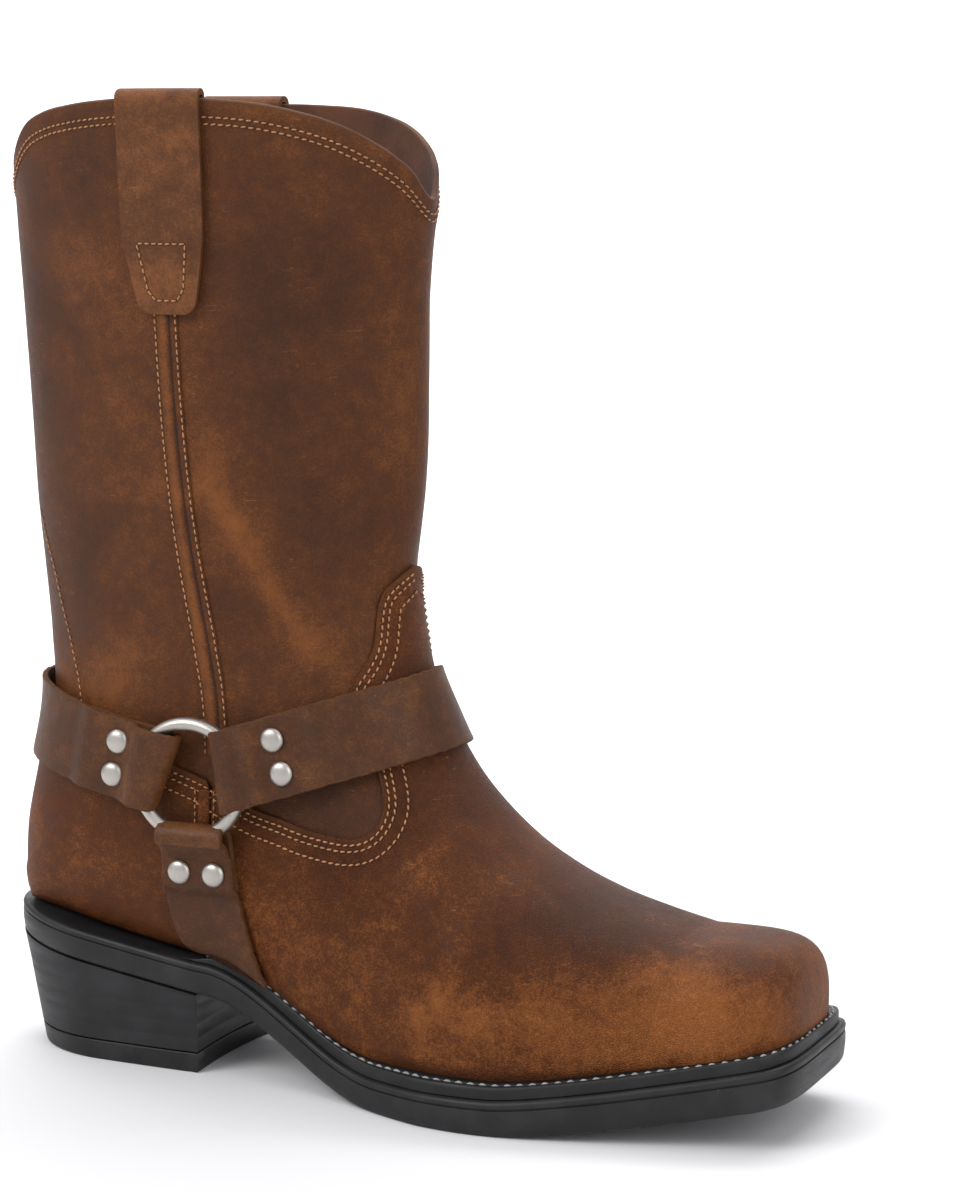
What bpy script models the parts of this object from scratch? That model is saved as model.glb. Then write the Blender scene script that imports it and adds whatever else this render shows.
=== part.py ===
"""Harness boot for the right foot: pull-on leather shaft, square toe, stacked heel and a harness of
straps, rings and rivets. Metres, +Z up, toe towards +X, outer (lateral) side towards -Y.
The origin lies on the floor, in the middle of the heel's underside."""

import math

import bmesh
import bpy
import numpy as np
from mathutils import Vector
from mathutils.bvhtree import BVHTree

# Driving dimensions
LENGTH = 0.306            # outsole, back of the heel to tip of the toe
BALL_WIDTH = 0.110        # outsole at the ball
HEEL_WIDTH = 0.069        # outsole at the heel
HEEL_DEPTH = 0.086        # back of the outsole to the heel breast
HEEL_HEIGHT = 0.0288      # floor to the outsole's underside at the heel breast
HEEL_PITCH = 0.0125       # rise of that underside from the breast to the back
HEEL_TAPER = 0.0090       # how far the heel's back leans in at the floor
HEEL_SIDE_TAPER = 0.0015
BREAST_HOLLOW = 0.0020    # how far the heel's front face curves in
TOE_SPRING = 0.0160       # lift of the outsole's tip
CAP_THICKNESS = 0.0070    # top piece that the heel stands on
OUTSOLE_WAIST = 0.0112    # outsole's thickness from heel to waist
OUTSOLE_TOE = 0.0136      # and at the toe
WELT_THICKNESS = 0.0042
WELT_INSET = 0.0016       # welt's edge back from the outsole's edge
WELT_TIP = 0.0004         # its thickness where it tapers out in front of the heel
INSOLE_THICKNESS = 0.0030
INSTEP_HEIGHT = 0.146     # floor to the bend between vamp and shaft
SHAFT_HEIGHT = 0.341      # floor to the highest edge of the collar
COLLAR_DIP = 0.038        # that edge down to the notch in front
SHAFT_WIDTH = 0.098       # shaft at the collar, side to side
WALL = 0.0022             # leather and lining together
OVERLAY = 0.0014          # vamp and counter leather
LASTING_MARGIN = 0.0100   # upper turned in under the insole
STRAP_WIDTH = 0.0285
STRAP_THICKNESS = 0.0022
SEAM_WIDTH = 0.0090       # raised strip on the side seam
SEAM_THICKNESS = 0.0012
PULL_WIDTH = 0.0306       # pull strap at the collar
PULL_TIP_WIDTH = 0.0130
PULL_LENGTH = 0.0730      # from the collar down the outside
PULL_THICKNESS = 0.0022
PULL_ALONG = 0.263        # its middle at the collar, share of LENGTH
PULL_TIP_ALONG = 0.267    # and at its tip
PULL_RISE = 0.0008        # room between the collar and the pull strap's fold
PULL_BEND = 0.0040        # it follows the shaft's side up to here below the collar
RING_OUTER = 0.0445
RING_WIRE = 0.0048
RIVET_WIDTH = 0.0087
RIVET_HEIGHT = 0.0018
RIVET_SPACING = 0.0120
GAP = 0.0003              # between curved pieces that meet

AROUND = 28               # points in each ring of the upper
FINE = 4                  # how much closer the guide's points lie than the upper's
ORIGIN_FROM_BACK = (HEEL_TAPER + HEEL_DEPTH) / 2

# Outline of the outsole seen from above. Shares: of LENGTH, then half widths of the width there.
SOLE_PLAN = np.array([
    # along  lateral  medial
    (0.000, 0.450, 0.450),
    (0.100, 0.478, 0.474),
    (0.196, 0.497, 0.486),
    (0.281, 0.504, 0.490),
    (0.360, 0.480, 0.446),
    (0.425, 0.463, 0.394),
    (0.490, 0.477, 0.365),
    (0.556, 0.515, 0.376),
    (0.605, 0.547, 0.405),
    (0.654, 0.559, 0.432),
    (0.706, 0.548, 0.444),
    (0.768, 0.514, 0.433),
    (0.833, 0.471, 0.405),
    (0.899, 0.427, 0.368),
    (0.948, 0.395, 0.345),
    (1.000, 0.364, 0.327),
])
HEEL_ROUND_END = 0.132    # share of LENGTH where the heel's round back ends
TOE_ROUND_START = 0.940   # and where the square toe's corners start
HEEL_ROUNDNESS = 2.05
TOE_ROUNDNESS = 4.2
WELT_START = 0.262        # the welt runs forward from here
WELT_FULL = 0.330         # and has its full thickness from here
BALL_FLAT_START = 0.540   # the outsole lies flat on the floor between these
BALL_FLAT_END = 0.680

# Sections of the upper, from the toe box to the collar. Each is a closed loop in the plane through
# a bottom (later back) point and a top (later front) point. Shares: along of LENGTH, rise of
# INSTEP_HEIGHT up to 1 and from there of what is left to SHAFT_HEIGHT, half widths of the width at
# that height, widest is how far up the loop is widest, low and high are how square it is there.
UPPER_SECTIONS = np.array([
    # back   rise   front  rise   lateral medial widest low  high
    (0.850, 0.000, 0.850, 0.417, 0.372, 0.335, 0.36, 6.5, 2.80),
    (0.795, 0.000, 0.795, 0.446, 0.412, 0.362, 0.33, 6.5, 2.60),
    (0.740, 0.000, 0.738, 0.485, 0.452, 0.380, 0.30, 6.5, 2.40),
    (0.684, 0.000, 0.680, 0.546, 0.478, 0.382, 0.27, 6.5, 2.20),
    (0.632, 0.000, 0.632, 0.619, 0.482, 0.368, 0.25, 6.5, 2.08),
    (0.578, 0.000, 0.588, 0.712, 0.455, 0.345, 0.26, 6.5, 2.00),
    (0.520, 0.000, 0.557, 0.803, 0.412, 0.328, 0.28, 6.2, 1.98),
    (0.455, 0.000, 0.534, 0.902, 0.372, 0.320, 0.32, 5.8, 1.96),
    (0.380, 0.000, 0.514, 1.000, 0.342, 0.316, 0.36, 5.4, 1.94),
    (0.300, 0.000, 0.506, 1.072, 0.330, 0.316, 0.40, 5.0, 1.92),
    (0.215, 0.000, 0.502, 1.132, 0.328, 0.318, 0.43, 4.5, 1.90),
    (0.135, 0.000, 0.502, 1.186, 0.330, 0.322, 0.45, 3.8, 1.90),
    (0.066, 0.000, 0.506, 1.232, 0.334, 0.328, 0.46, 3.0, 1.90),
    (0.020, 0.362, 0.510, 1.276, 0.338, 0.334, 0.46, 2.6, 1.90),
    (0.015, 0.435, 0.513, 1.320, 0.343, 0.340, 0.46, 2.4, 1.90),
    (0.017, 0.545, 0.515, 1.366, 0.348, 0.346, 0.46, 2.3, 1.90),
    (0.030, 0.685, 0.516, 1.412, 0.355, 0.353, 0.46, 2.2, 1.90),
    (0.046, 0.855, 0.516, 1.468, 0.364, 0.363, 0.46, 2.15, 1.90),
    (0.042, 1.020, 0.516, 1.530, 0.376, 0.376, 0.47, 2.1, 1.90),
    (0.034, 1.150, 0.516, 1.590, 0.390, 0.390, 0.48, 2.1, 1.88),
    (0.026, 1.267, 0.516, 1.655, 0.405, 0.405, 0.49, 2.1, 1.86),
    (0.021, 1.390, 0.518, 1.712, 0.420, 0.420, 0.50, 2.1, 1.85),
    (0.016, 1.518, 0.520, 1.750, 0.434, 0.434, 0.50, 2.1, 1.84),
    (0.011, 1.640, 0.522, 1.778, 0.452, 0.452, 0.50, 2.1, 1.83),
    (0.006, 1.752, 0.524, 1.795, 0.470, 0.470, 0.50, 2.1, 1.82),
    (-0.005, 2.000, 0.529, 2.000, 0.500, 0.500, 0.50, 2.1, 1.80),
])
LAST_TILTED = 24          # row above which the rings bend to the collar
TOE_TIP = 0.983           # upper's tip, share of LENGTH
TOE_RINGS = (0.998, 0.972, 0.925, 0.850, 0.740, 0.570, 0.330)
TOE_SIDE_ROUNDNESS = 5.5
TOE_PLAN_ROUNDNESS = 3.3
BODY_RINGS = (
    0, 1, 2, 3, 4, 5, 6, 7, 7.5, 8, 8.5, 9, 9.5, 10, 11, 12, 13, 14, 15.3, 16.7, 18.2, 19.8, 21.6, 24,
)
COLLAR_RINGS = (0.35, 0.72, 1.0)

# Edge of the collar seen from the side. Shares: of LENGTH, and of COLLAR_DIP below the top.
COLLAR_EDGE = np.array([
    # along  drop
    (-0.020, 0.800),
    (0.005, 0.710),
    (0.030, 0.470),
    (0.060, 0.240),
    (0.095, 0.125),
    (0.140, 0.060),
    (0.200, 0.015),
    (0.265, 0.000),
    (0.315, 0.012),
    (0.375, 0.050),
    (0.415, 0.118),
    (0.450, 0.210),
    (0.480, 0.345),
    (0.503, 0.500),
    (0.517, 0.660),
    (0.526, 0.900),
    (0.533, 1.020),
    (0.545, 1.060),
])

# Upper edge of vamp and counter seen from the side. Shares: of LENGTH, and of INSTEP_HEIGHT.
COUNTER_EDGE = ((-0.10, 0.845), (0.15, 0.808), (0.255, 0.761), (0.300, 0.730))
VAMP_EDGE = (
    (0.300, 0.730), (0.333, 0.695), (0.365, 0.667), (0.396, 0.651), (0.423, 0.635), (0.450, 0.625),
    (0.475, 0.620), (0.495, 0.626), (0.508, 0.644), (0.515, 0.672), (0.516, 0.703), (0.511, 0.740),
    (0.482, 0.870), (0.465, 0.955), (0.466, 0.970), (0.478, 1.020), (0.483, 1.055), (0.484, 1.124),
    (0.485, 1.160), (0.488, 1.183), (0.501, 1.221), (0.508, 1.242), (0.560, 1.255),
)
SIDE_SEAM = 0.305         # where vamp and counter meet, share of LENGTH

# Outline of a pull strap. Shares: of PULL_LENGTH, then from PULL_TIP_WIDTH to PULL_WIDTH.
PULL_OUTLINE = (
    # depth spread
    (1.000, 0.00),
    (0.965, 0.25),
    (0.800, 0.72),
    (0.620, 1.00),
    (0.300, 1.00),
    (0.020, 1.00),
)

# Middle of the side seam. Shares: rises as in the upper's table, and of LENGTH.
SEAM_LINE = np.array([
    # rise  along
    (0.72, 0.3120),
    (0.80, 0.3110),
    (0.90, 0.3080),
    (0.98, 0.3030),
    (1.05, 0.2965),
    (1.12, 0.2890),
    (1.19, 0.2815),
    (1.26, 0.2755),
    (1.34, 0.2705),
    (1.41, 0.2670),
    (1.48, 0.2645),
    (1.64, 0.2615),
])
SEAM_FOOT_RISE = 0.79     # where its raised strip ends, under the ring
SEAM_SLOPING = 0.12       # how far the strip's edges slope in, share of SEAM_WIDTH

# Harness. The ring's middle as shares of LENGTH and INSTEP_HEIGHT; straps leave it at these slopes.
RING_ALONG = 0.289
RING_RISE = 0.735
FRONT_SLOPE = 17.6
BACK_SLOPE = 11.0
DOWN_LEAN = 4.0
DOWN_BEND = 7.6           # forward bend of the strap's lower part, per metre
DOWN_BEND_START = 0.035
DOWN_TOP_WIDTH = 0.0250
DOWN_END_WIDTH = 0.0325
DOWN_CLEAR = 0.0010       # its end above the welt
MEDIAL_PULL_BACK = 0.016  # the inner pull strap sits this much further back than the outer one


def remove_everything():
    for item in list(bpy.data.objects):
        bpy.data.objects.remove(item, do_unlink=True)


def new_collection(name):
    collection = bpy.data.collections.new(name)
    bpy.context.scene.collection.children.link(collection)
    return collection


def material(name, colour, roughness, metallic=0.0):
    made = bpy.data.materials.new(name)
    made.use_nodes = True
    shader = made.node_tree.nodes["Principled BSDF"]
    shader.inputs["Base Color"].default_value = (*colour, 1.0)
    shader.inputs["Roughness"].default_value = roughness
    shader.inputs["Metallic"].default_value = metallic
    made.diffuse_color = (*colour, 1.0)
    return made


def along(share):
    """Place along the boot, from a share of the outsole's length."""
    return np.asarray(share) * LENGTH - ORIGIN_FROM_BACK


def from_back(x):
    return x + ORIGIN_FROM_BACK


def smooth(stations, values, at):
    """Smooth curve through the points of a table."""
    slopes = np.gradient(values, stations)
    at = np.clip(at, stations[0], stations[-1])
    index = np.clip(np.searchsorted(stations, at) - 1, 0, len(stations) - 2)
    span = stations[index + 1] - stations[index]
    t = (at - stations[index]) / span
    start = (2 * t**3 - 3 * t**2 + 1) * values[index] + (t**3 - 2 * t**2 + t) * span * slopes[index]
    end = (3 * t**2 - 2 * t**3) * values[index + 1] + (t**3 - t**2) * span * slopes[index + 1]
    return start + end


def ease(t):
    t = np.clip(t, 0.0, 1.0)
    return t * t * (3 - 2 * t)


def rounding(t, power):
    """How far a width has closed towards a round end: 1 where t is 0, and 0 where t is 1."""
    return (1 - np.clip(t, 0.0, 1.0) ** power) ** (1 / power)


def sole_half_widths(share):
    """Lateral and medial half width of the outsole at a share of its length."""
    blend = ease((share * LENGTH - HEEL_DEPTH) / (0.605 * LENGTH - HEEL_DEPTH))
    width = HEEL_WIDTH + (BALL_WIDTH - HEEL_WIDTH) * blend
    width *= rounding((HEEL_ROUND_END - share) / HEEL_ROUND_END, HEEL_ROUNDNESS)
    width *= rounding((share - TOE_ROUND_START) / (1 - TOE_ROUND_START), TOE_ROUNDNESS)
    table = SOLE_PLAN
    return width * smooth(table[:, 0], table[:, 1], share), width * smooth(table[:, 0], table[:, 2], share)


def underside(x):
    """Height of the outsole's underside above the floor."""
    back = from_back(np.asarray(x, float))
    flat_start = BALL_FLAT_START * LENGTH
    flat_end = BALL_FLAT_END * LENGTH
    arch = np.clip((flat_start - back) / (flat_start - HEEL_DEPTH), 0.0, 1.0) ** 1.15
    heel = HEEL_HEIGHT * ease(arch) + HEEL_PITCH * np.clip(1 - back / HEEL_DEPTH, 0.0, None)
    toe = TOE_SPRING * np.clip((back - flat_end) / (LENGTH - flat_end), 0.0, None) ** 1.35
    return heel + toe


def outsole_top(x):
    share = ease((from_back(np.asarray(x, float)) / LENGTH - 0.45) / 0.55)
    return underside(x) + OUTSOLE_WAIST + (OUTSOLE_TOE - OUTSOLE_WAIST) * share


def height(rise):
    """Height above the floor of a rise along the upper."""
    above = np.maximum(rise - 1.0, 0.0)
    return INSTEP_HEIGHT * np.minimum(rise, 1.0) + (SHAFT_HEIGHT - INSTEP_HEIGHT) * above


def upper_row(row):
    """The upper's section table at a row number, which may lie between two rows."""
    numbers = np.arange(len(UPPER_SECTIONS), dtype=float)
    return [smooth(numbers, UPPER_SECTIONS[:, column], row) for column in range(9)]


def upper_loop(row, angle, narrow=1.0, low=1.0, back_share=None):
    """Points of the upper at a row and an angle round the section, 0 at the bottom and back.
    narrow and low close the loop towards the toe, where back_share gives its place."""
    back, back_rise, front, front_rise, lateral, medial, widest, low_square, high_square = upper_row(row)
    if back_share is not None:
        back = front = back_share
    bottom_x = along(back)
    bottom_z = np.maximum(outsole_top(bottom_x) + 1.5 * GAP, height(back_rise))
    top_x = along(front)
    top_z = bottom_z + (height(front_rise) - bottom_z) * low
    width = BALL_WIDTH + (SHAFT_WIDTH - BALL_WIDTH) * ease(front_rise - 1.0)
    cosine = np.cos(angle)
    sine = np.abs(np.sin(angle))
    below = cosine > 0
    square = np.where(below, low_square, high_square)
    reach = np.abs(cosine) ** (2 / square)
    up = np.where(below, widest - widest * reach, widest + (1 - widest) * reach)
    side = np.where(np.sin(angle) > 0, -lateral, medial) * width * narrow
    x = bottom_x + (top_x - bottom_x) * up
    z = bottom_z + (top_z - bottom_z) * up
    return np.stack([x, side * sine ** (2 / square), z], axis=-1)


def collar_height(x):
    table = COLLAR_EDGE
    return SHAFT_HEIGHT - COLLAR_DIP * smooth(table[:, 0], table[:, 1], from_back(x) / LENGTH)


def collar_rows(angles):
    """The row number at which each line up the shaft meets the collar's edge."""
    low = np.full(len(angles), LAST_TILTED - 1.5)
    high = np.full(len(angles), len(UPPER_SECTIONS) - 1.0)
    for _ in range(40):
        middle = (low + high) / 2
        points = upper_loop(middle, angles)
        below = points[:, 2] < collar_height(points[:, 0])
        low = np.where(below, middle, low)
        high = np.where(below, high, middle)
    return (low + high) / 2


def upper_rings(density=1):
    """Rings of points over the whole outside of the upper, from the toe's tip to the collar."""
    angles = np.linspace(0, 2 * math.pi, AROUND * density, endpoint=False)
    rings = []
    start = UPPER_SECTIONS[0, 0]
    counts = np.arange(len(TOE_RINGS), dtype=float)
    for step in np.linspace(0, len(TOE_RINGS), len(TOE_RINGS) * density, endpoint=False):
        forward = smooth(np.append(counts, len(counts)), np.append(TOE_RINGS, 0.0), step)
        share = start + (TOE_TIP - start) * forward
        low = rounding(forward, TOE_SIDE_ROUNDNESS)
        narrow = rounding(forward, TOE_PLAN_ROUNDNESS)
        rings.append(upper_loop(0.0, angles, narrow, low, share))
    numbers = np.arange(len(BODY_RINGS), dtype=float)
    for row in np.interp(np.linspace(0, numbers[-1], (len(numbers) - 1) * density + 1), numbers, BODY_RINGS):
        rings.append(upper_loop(row, angles))
    last = collar_rows(angles)
    shares = np.concatenate([[0.0], COLLAR_RINGS])
    steps = np.linspace(0, len(COLLAR_RINGS), len(COLLAR_RINGS) * density + 1)[1:]
    for share in np.interp(steps, np.arange(len(shares)), shares):
        rings.append(upper_loop(LAST_TILTED + (last - LAST_TILTED) * share, angles))
    return np.array(rings)


def ring_faces(count, around):
    """Four-sided faces between rings of points, and one face that closes the first ring."""
    faces = [list(reversed(range(around)))]
    for ring in range(count - 1):
        for k in range(around):
            following = (k + 1) % around
            low = ring * around
            high = low + around
            faces.append([low + k, low + following, high + following, high + k])
    return faces


def mesh_object(name, points, faces, collection, look=None, flat=False):
    mesh = bpy.data.meshes.new(name)
    mesh.from_pydata([tuple(map(float, p)) for p in points], [], faces)
    mesh.validate()
    if not flat:
        mesh.shade_smooth()
        mesh.set_sharp_from_angle(angle=math.radians(35))
    if look:
        mesh.materials.append(look)
    made = bpy.data.objects.new(name, mesh)
    collection.objects.link(made)
    return made


def vertex_normals(points, faces):
    mesh = bpy.data.meshes.new("guide")
    mesh.from_pydata([tuple(map(float, p)) for p in points], [], faces)
    normals = np.empty(len(points) * 3)
    mesh.vertex_normals.foreach_get("vector", normals)
    bpy.data.meshes.remove(mesh)
    return normals.reshape(-1, 3)


class Form:
    """The upper's outer surface: points, faces and normals, and where a line meets it or the
    surface a lift above it."""

    def __init__(self, density, lift=0.0):
        rings = upper_rings(density)
        self.around = rings.shape[1]
        self.points = rings.reshape(-1, 3)
        self.faces = ring_faces(rings.shape[0], self.around)
        self.normals = vertex_normals(self.points, self.faces)
        self.lifted = self.raised(lift)
        self.tree = BVHTree.FromPolygons([Vector(p) for p in self.lifted], self.faces)

    def raised(self, distance):
        return self.points + self.normals * distance

    def meet(self, origin, direction):
        """Point and smooth normal where a line from inside meets the surface."""
        hit, _, face, _ = self.tree.ray_cast(Vector(origin), Vector(direction))
        corners = self.faces[face]
        away = np.linalg.norm(self.lifted[corners] - np.array(hit), axis=1)
        weight = 1 / (away + 1e-5)
        normal = (self.normals[corners] * weight[:, None]).sum(axis=0)
        return np.array(hit), normal / np.linalg.norm(normal)


def solidify(item, thickness):
    """Gives an open surface its wall, inwards."""
    wall = item.modifiers.new("wall", "SOLIDIFY")
    wall.thickness = thickness
    wall.offset = -1.0
    wall.use_even_offset = True
    wall.use_rim = True
    return wall


def boolean(item, cutter, operation="DIFFERENCE", solver="EXACT"):
    cut = item.modifiers.new("cut", "BOOLEAN")
    cut.operation = operation
    cut.object = cutter
    cut.solver = solver
    return cut


def as_cutter(item):
    item.hide_render = True
    item.display_type = "WIRE"
    return item


def loft(name, rings, collection, look=None):
    """Closed solid through rings of points, with a face over each end."""
    rings = np.asarray(rings, float)
    count, around = rings.shape[:2]
    faces = ring_faces(count, around)
    faces.append([(count - 1) * around + k for k in range(around)])
    made = mesh_object(name, rings.reshape(-1, 3), faces, collection, look)
    edit = bmesh.new()
    edit.from_mesh(made.data)
    bmesh.ops.recalc_face_normals(edit, faces=edit.faces)
    edit.to_mesh(made.data)
    edit.free()
    return made


def sole_shares(heel_count, middle_count, toe_count, inset=0.0):
    """Shares of the length for the stations of a slab, close together round heel and toe."""
    turn = np.linspace(0.06, math.pi / 2, heel_count)
    heel = HEEL_ROUND_END * (1 - np.cos(turn) ** (2 / HEEL_ROUNDNESS))
    turn = np.linspace(0.0, math.pi / 2 - 0.06, toe_count)
    toe = TOE_ROUND_START + (1 - TOE_ROUND_START) * np.sin(turn) ** (2 / TOE_ROUNDNESS)
    middle = np.linspace(HEEL_ROUND_END, TOE_ROUND_START, middle_count)[1:-1]
    shares = np.concatenate([heel, middle, toe])
    edge = inset / LENGTH
    return edge + shares * (1 - 2 * edge)


def slab_rings(shares, inset, bottom, top, belly=0.0):
    """Rings across the sole's outline, inset from its edge, between two heights."""
    rings = []
    edge = inset / LENGTH
    for share in shares:
        lateral, medial = sole_half_widths((share - edge) / (1 - 2 * edge))
        lateral = max(lateral - inset, 0.0004)
        medial = max(medial - inset, 0.0004)
        x = float(along(share))
        low = float(bottom(x))
        high = float(top(x))
        middle = (low + high) / 2
        ring = [(x, -lateral, low), (x, -lateral - belly, middle), (x, -lateral, high)]
        ring += [(x, medial, high), (x, medial + belly, middle), (x, medial, low)]
        if not belly:
            ring = [ring[0], ring[2], ring[3], ring[5]]
        rings.append(ring)
    return rings


def make_outsole(parts, look):
    rings = slab_rings(sole_shares(8, 27, 8), 0.0, underside, outsole_top, belly=0.0006)
    return loft("outsole", rings, parts, look)


def heel_outline(z, clear_top):
    """Outline of the heel at a height: round back, straight sides, and a breast that curves in."""
    lean = 1 - z / clear_top
    shares = sole_shares(8, 27, 8)
    shares = np.append(shares[shares < HEEL_DEPTH / LENGTH - 0.01], HEEL_DEPTH / LENGTH)
    lateral, medial = sole_half_widths(shares)
    depth = HEEL_DEPTH - HEEL_TAPER * lean
    x = HEEL_DEPTH - (HEEL_DEPTH - shares * LENGTH) / HEEL_DEPTH * depth - ORIGIN_FROM_BACK
    side = 1 - HEEL_SIDE_TAPER * lean / (HEEL_WIDTH / 2)
    x[-1] = HEEL_DEPTH - ORIGIN_FROM_BACK
    outline = list(zip(x, -lateral * side))
    for across in np.linspace(-1, 1, 7)[1:-1]:
        half = lateral[-1] if across < 0 else medial[-1]
        outline.append((x[-1] - BREAST_HOLLOW * (1 - across**2), across * half * side))
    outline += list(zip(x[::-1], medial[::-1] * side))
    return outline


def make_heel(parts, look, cap_look):
    clear_top = HEEL_HEIGHT + HEEL_PITCH

    def layer(name, bottom, top, layer_look):
        rings = []
        for level in (bottom, top):
            outline = heel_outline(level if np.isscalar(level) else clear_top, clear_top)
            ring = []
            for x, y in outline:
                z = level if np.isscalar(level) else float(underside(x)) - GAP
                ring.append((x, y, z))
            rings.append(ring)
        return loft(name, rings, parts, layer_look)

    layer("heel_cap", 0.0, CAP_THICKNESS, cap_look)
    layer("heel_stack", CAP_THICKNESS + GAP, None, look)


def make_upper(parts, cutters, form, look):
    upper = mesh_object("upper", form.points, form.faces, parts, look)
    solidify(upper, WALL)
    inset = LASTING_MARGIN + WELT_INSET
    opening = loft(
        "lasting_opening",
        slab_rings(
            sole_shares(4, 12, 4, inset * 1.25), inset * 1.25,
            underside, lambda x: outsole_top(x) + GAP + WALL + 0.0012,
        ),
        cutters,
    )
    boolean(upper, as_cutter(opening))
    return upper


def welt_top(x):
    fade = ease((from_back(x) / LENGTH - WELT_START) / (WELT_FULL - WELT_START))
    return outsole_top(x) + GAP + WELT_TIP + (WELT_THICKNESS - WELT_TIP) * fade


def welt_shares():
    shares = sole_shares(8, 27, 8, WELT_INSET)
    return np.append(WELT_START, shares[shares > WELT_START + 0.01])


def make_welt(parts, look):
    """A strip that runs from one side of the waist round the toe to the other, against the upper."""
    beside = Form(2, GAP)
    edge = WELT_INSET / LENGTH
    shares = welt_shares()
    lateral, medial = sole_half_widths((shares - edge) / (1 - 2 * edge))
    x = along(shares)
    outline = list(zip(x, WELT_INSET - lateral))
    front = np.linspace(outline[-1][1], medial[-1] - WELT_INSET, 8)[1:-1]
    outline += [(x[-1], y) for y in front]
    outline += list(zip(x[::-1], (medial - WELT_INSET)[::-1]))
    rings = []
    for x, y in outline:
        middle = np.array([min(x, float(along(0.88))), 0.0, float(welt_top(x))])
        inner = beside.meet(middle, (x - middle[0], y, 0.0))[0]
        outer_pair = [(x, y, float(outsole_top(x)) + GAP), (x, y, float(welt_top(x)))]
        x, y = inner[:2]
        rings.append(outer_pair + [(x, y, float(welt_top(x))), (x, y, float(outsole_top(x)) + GAP)])
    return loft("welt", rings, parts, look)


def make_insole(parts, look):
    """A flat layer on the turned-in leather, as wide as the space between the linings."""
    lining = Form(1, -(WALL + 4 * GAP))
    foot_width = 0.74         # the lower edge is smaller, because the lining curves in there
    foot_length = 0.93
    shoulder = 0.55           # how far up the layer has its full width

    def level(x, share):
        return float(outsole_top(x)) + WALL + 6 * GAP + INSOLE_THICKNESS * share

    def reach(start, heading):
        """How far the layer can reach from a place, towards the heel or the toe."""
        tip = start
        for _ in range(3):
            tips = [lining.meet((start, 0, level(tip, up)), (heading, 0, 0))[0][0] for up in (shoulder, 1.0)]
            tip = min(tips) if heading > 0 else max(tips)
        return tip - heading * 10 * GAP

    heel_end = reach(float(along(0.12)), -1)
    toe_end = reach(float(along(0.86)), 1)
    middle = (heel_end + toe_end) / 2
    rings = []
    for share in 0.5 - 0.5 * np.cos(np.linspace(0.12, math.pi - 0.12, 28)):
        x = heel_end + (toe_end - heel_end) * share
        ring = []
        for side, order in ((-1, (0.0, shoulder, 1.0)), (1, (1.0, shoulder, 0.0))):
            for up in order:
                y = lining.meet((x, 0, level(x, max(up, shoulder))), (0, side, 0))[0][1]
                if up == 0:
                    low_x = middle + (x - middle) * foot_length
                    ring.append((low_x, y * foot_width, level(low_x, up)))
                else:
                    ring.append((x, y, level(x, up)))
        rings.append(ring)
    return loft("insole", rings, parts, look)


def edge_points(table):
    return [(float(along(share)), INSTEP_HEIGHT * rise) for share, rise in table]


def side_prism(name, outline, cutters):
    """A block with an outline seen from the side, wide enough to pass right through the boot."""
    wide = BALL_WIDTH
    rings = [[(x, y, z) for x, z in outline] for y in (-wide, wide)]
    return as_cutter(loft(name, rings, cutters))


def ledge_line():
    """Points a gap above the ledge that vamp and counter end over: outsole, then welt."""
    line = [(x, float(outsole_top(x)) + 2 * GAP) for x in along(np.linspace(-0.1, WELT_START, 12))]
    line[-1] = (line[-1][0] - GAP / 4, line[-1][1])
    line += [(x, float(welt_top(x)) + GAP) for x in along(welt_shares())]
    return [(float(x), z) for x, z in line]


def make_overlay(name, outline, parts, cutters, form, look):
    overlay = mesh_object(name, form.raised(1.5 * GAP + OVERLAY), form.faces, parts, look)
    solidify(overlay, OVERLAY)
    boolean(overlay, side_prism(name + "_outline", outline, cutters), "INTERSECT")
    return overlay


def make_vamp_and_counter(parts, cutters, form, look):
    seam = float(along(SIDE_SEAM))
    ledge = ledge_line()
    vamp_top = edge_points(VAMP_EDGE)
    seam_top = float(np.interp(seam, [p[0] for p in vamp_top[:3]], [p[1] for p in vamp_top[:3]]))
    seam_foot = float(np.interp(seam, [p[0] for p in ledge], [p[1] for p in ledge]))
    ahead = float(along(1.1))
    outline = [(seam + GAP / 2, seam_top)] + [p for p in vamp_top if p[0] > seam + GAP]
    outline += [(ahead, vamp_top[-1][1]), (ahead, ledge[-1][1])]
    outline += [p for p in reversed(ledge) if p[0] > seam + GAP]
    outline.append((seam + GAP / 2, seam_foot))
    make_overlay("vamp", outline, parts, cutters, form, look)
    outline = [p for p in edge_points(COUNTER_EDGE) if p[0] < seam - GAP]
    outline += [(seam - GAP / 2, seam_top), (seam - GAP / 2, seam_foot)]
    outline += [p for p in reversed(ledge) if p[0] < seam - GAP]
    make_overlay("counter", outline, parts, cutters, form, look)


def band(name, stations, parts, look):
    """Solid through cross sections of a strap: each station is a lower and an upper row of points."""
    rings = [list(lower) + list(reversed(upper)) for lower, upper in stations]
    return loft(name, rings, parts, look)


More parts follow.
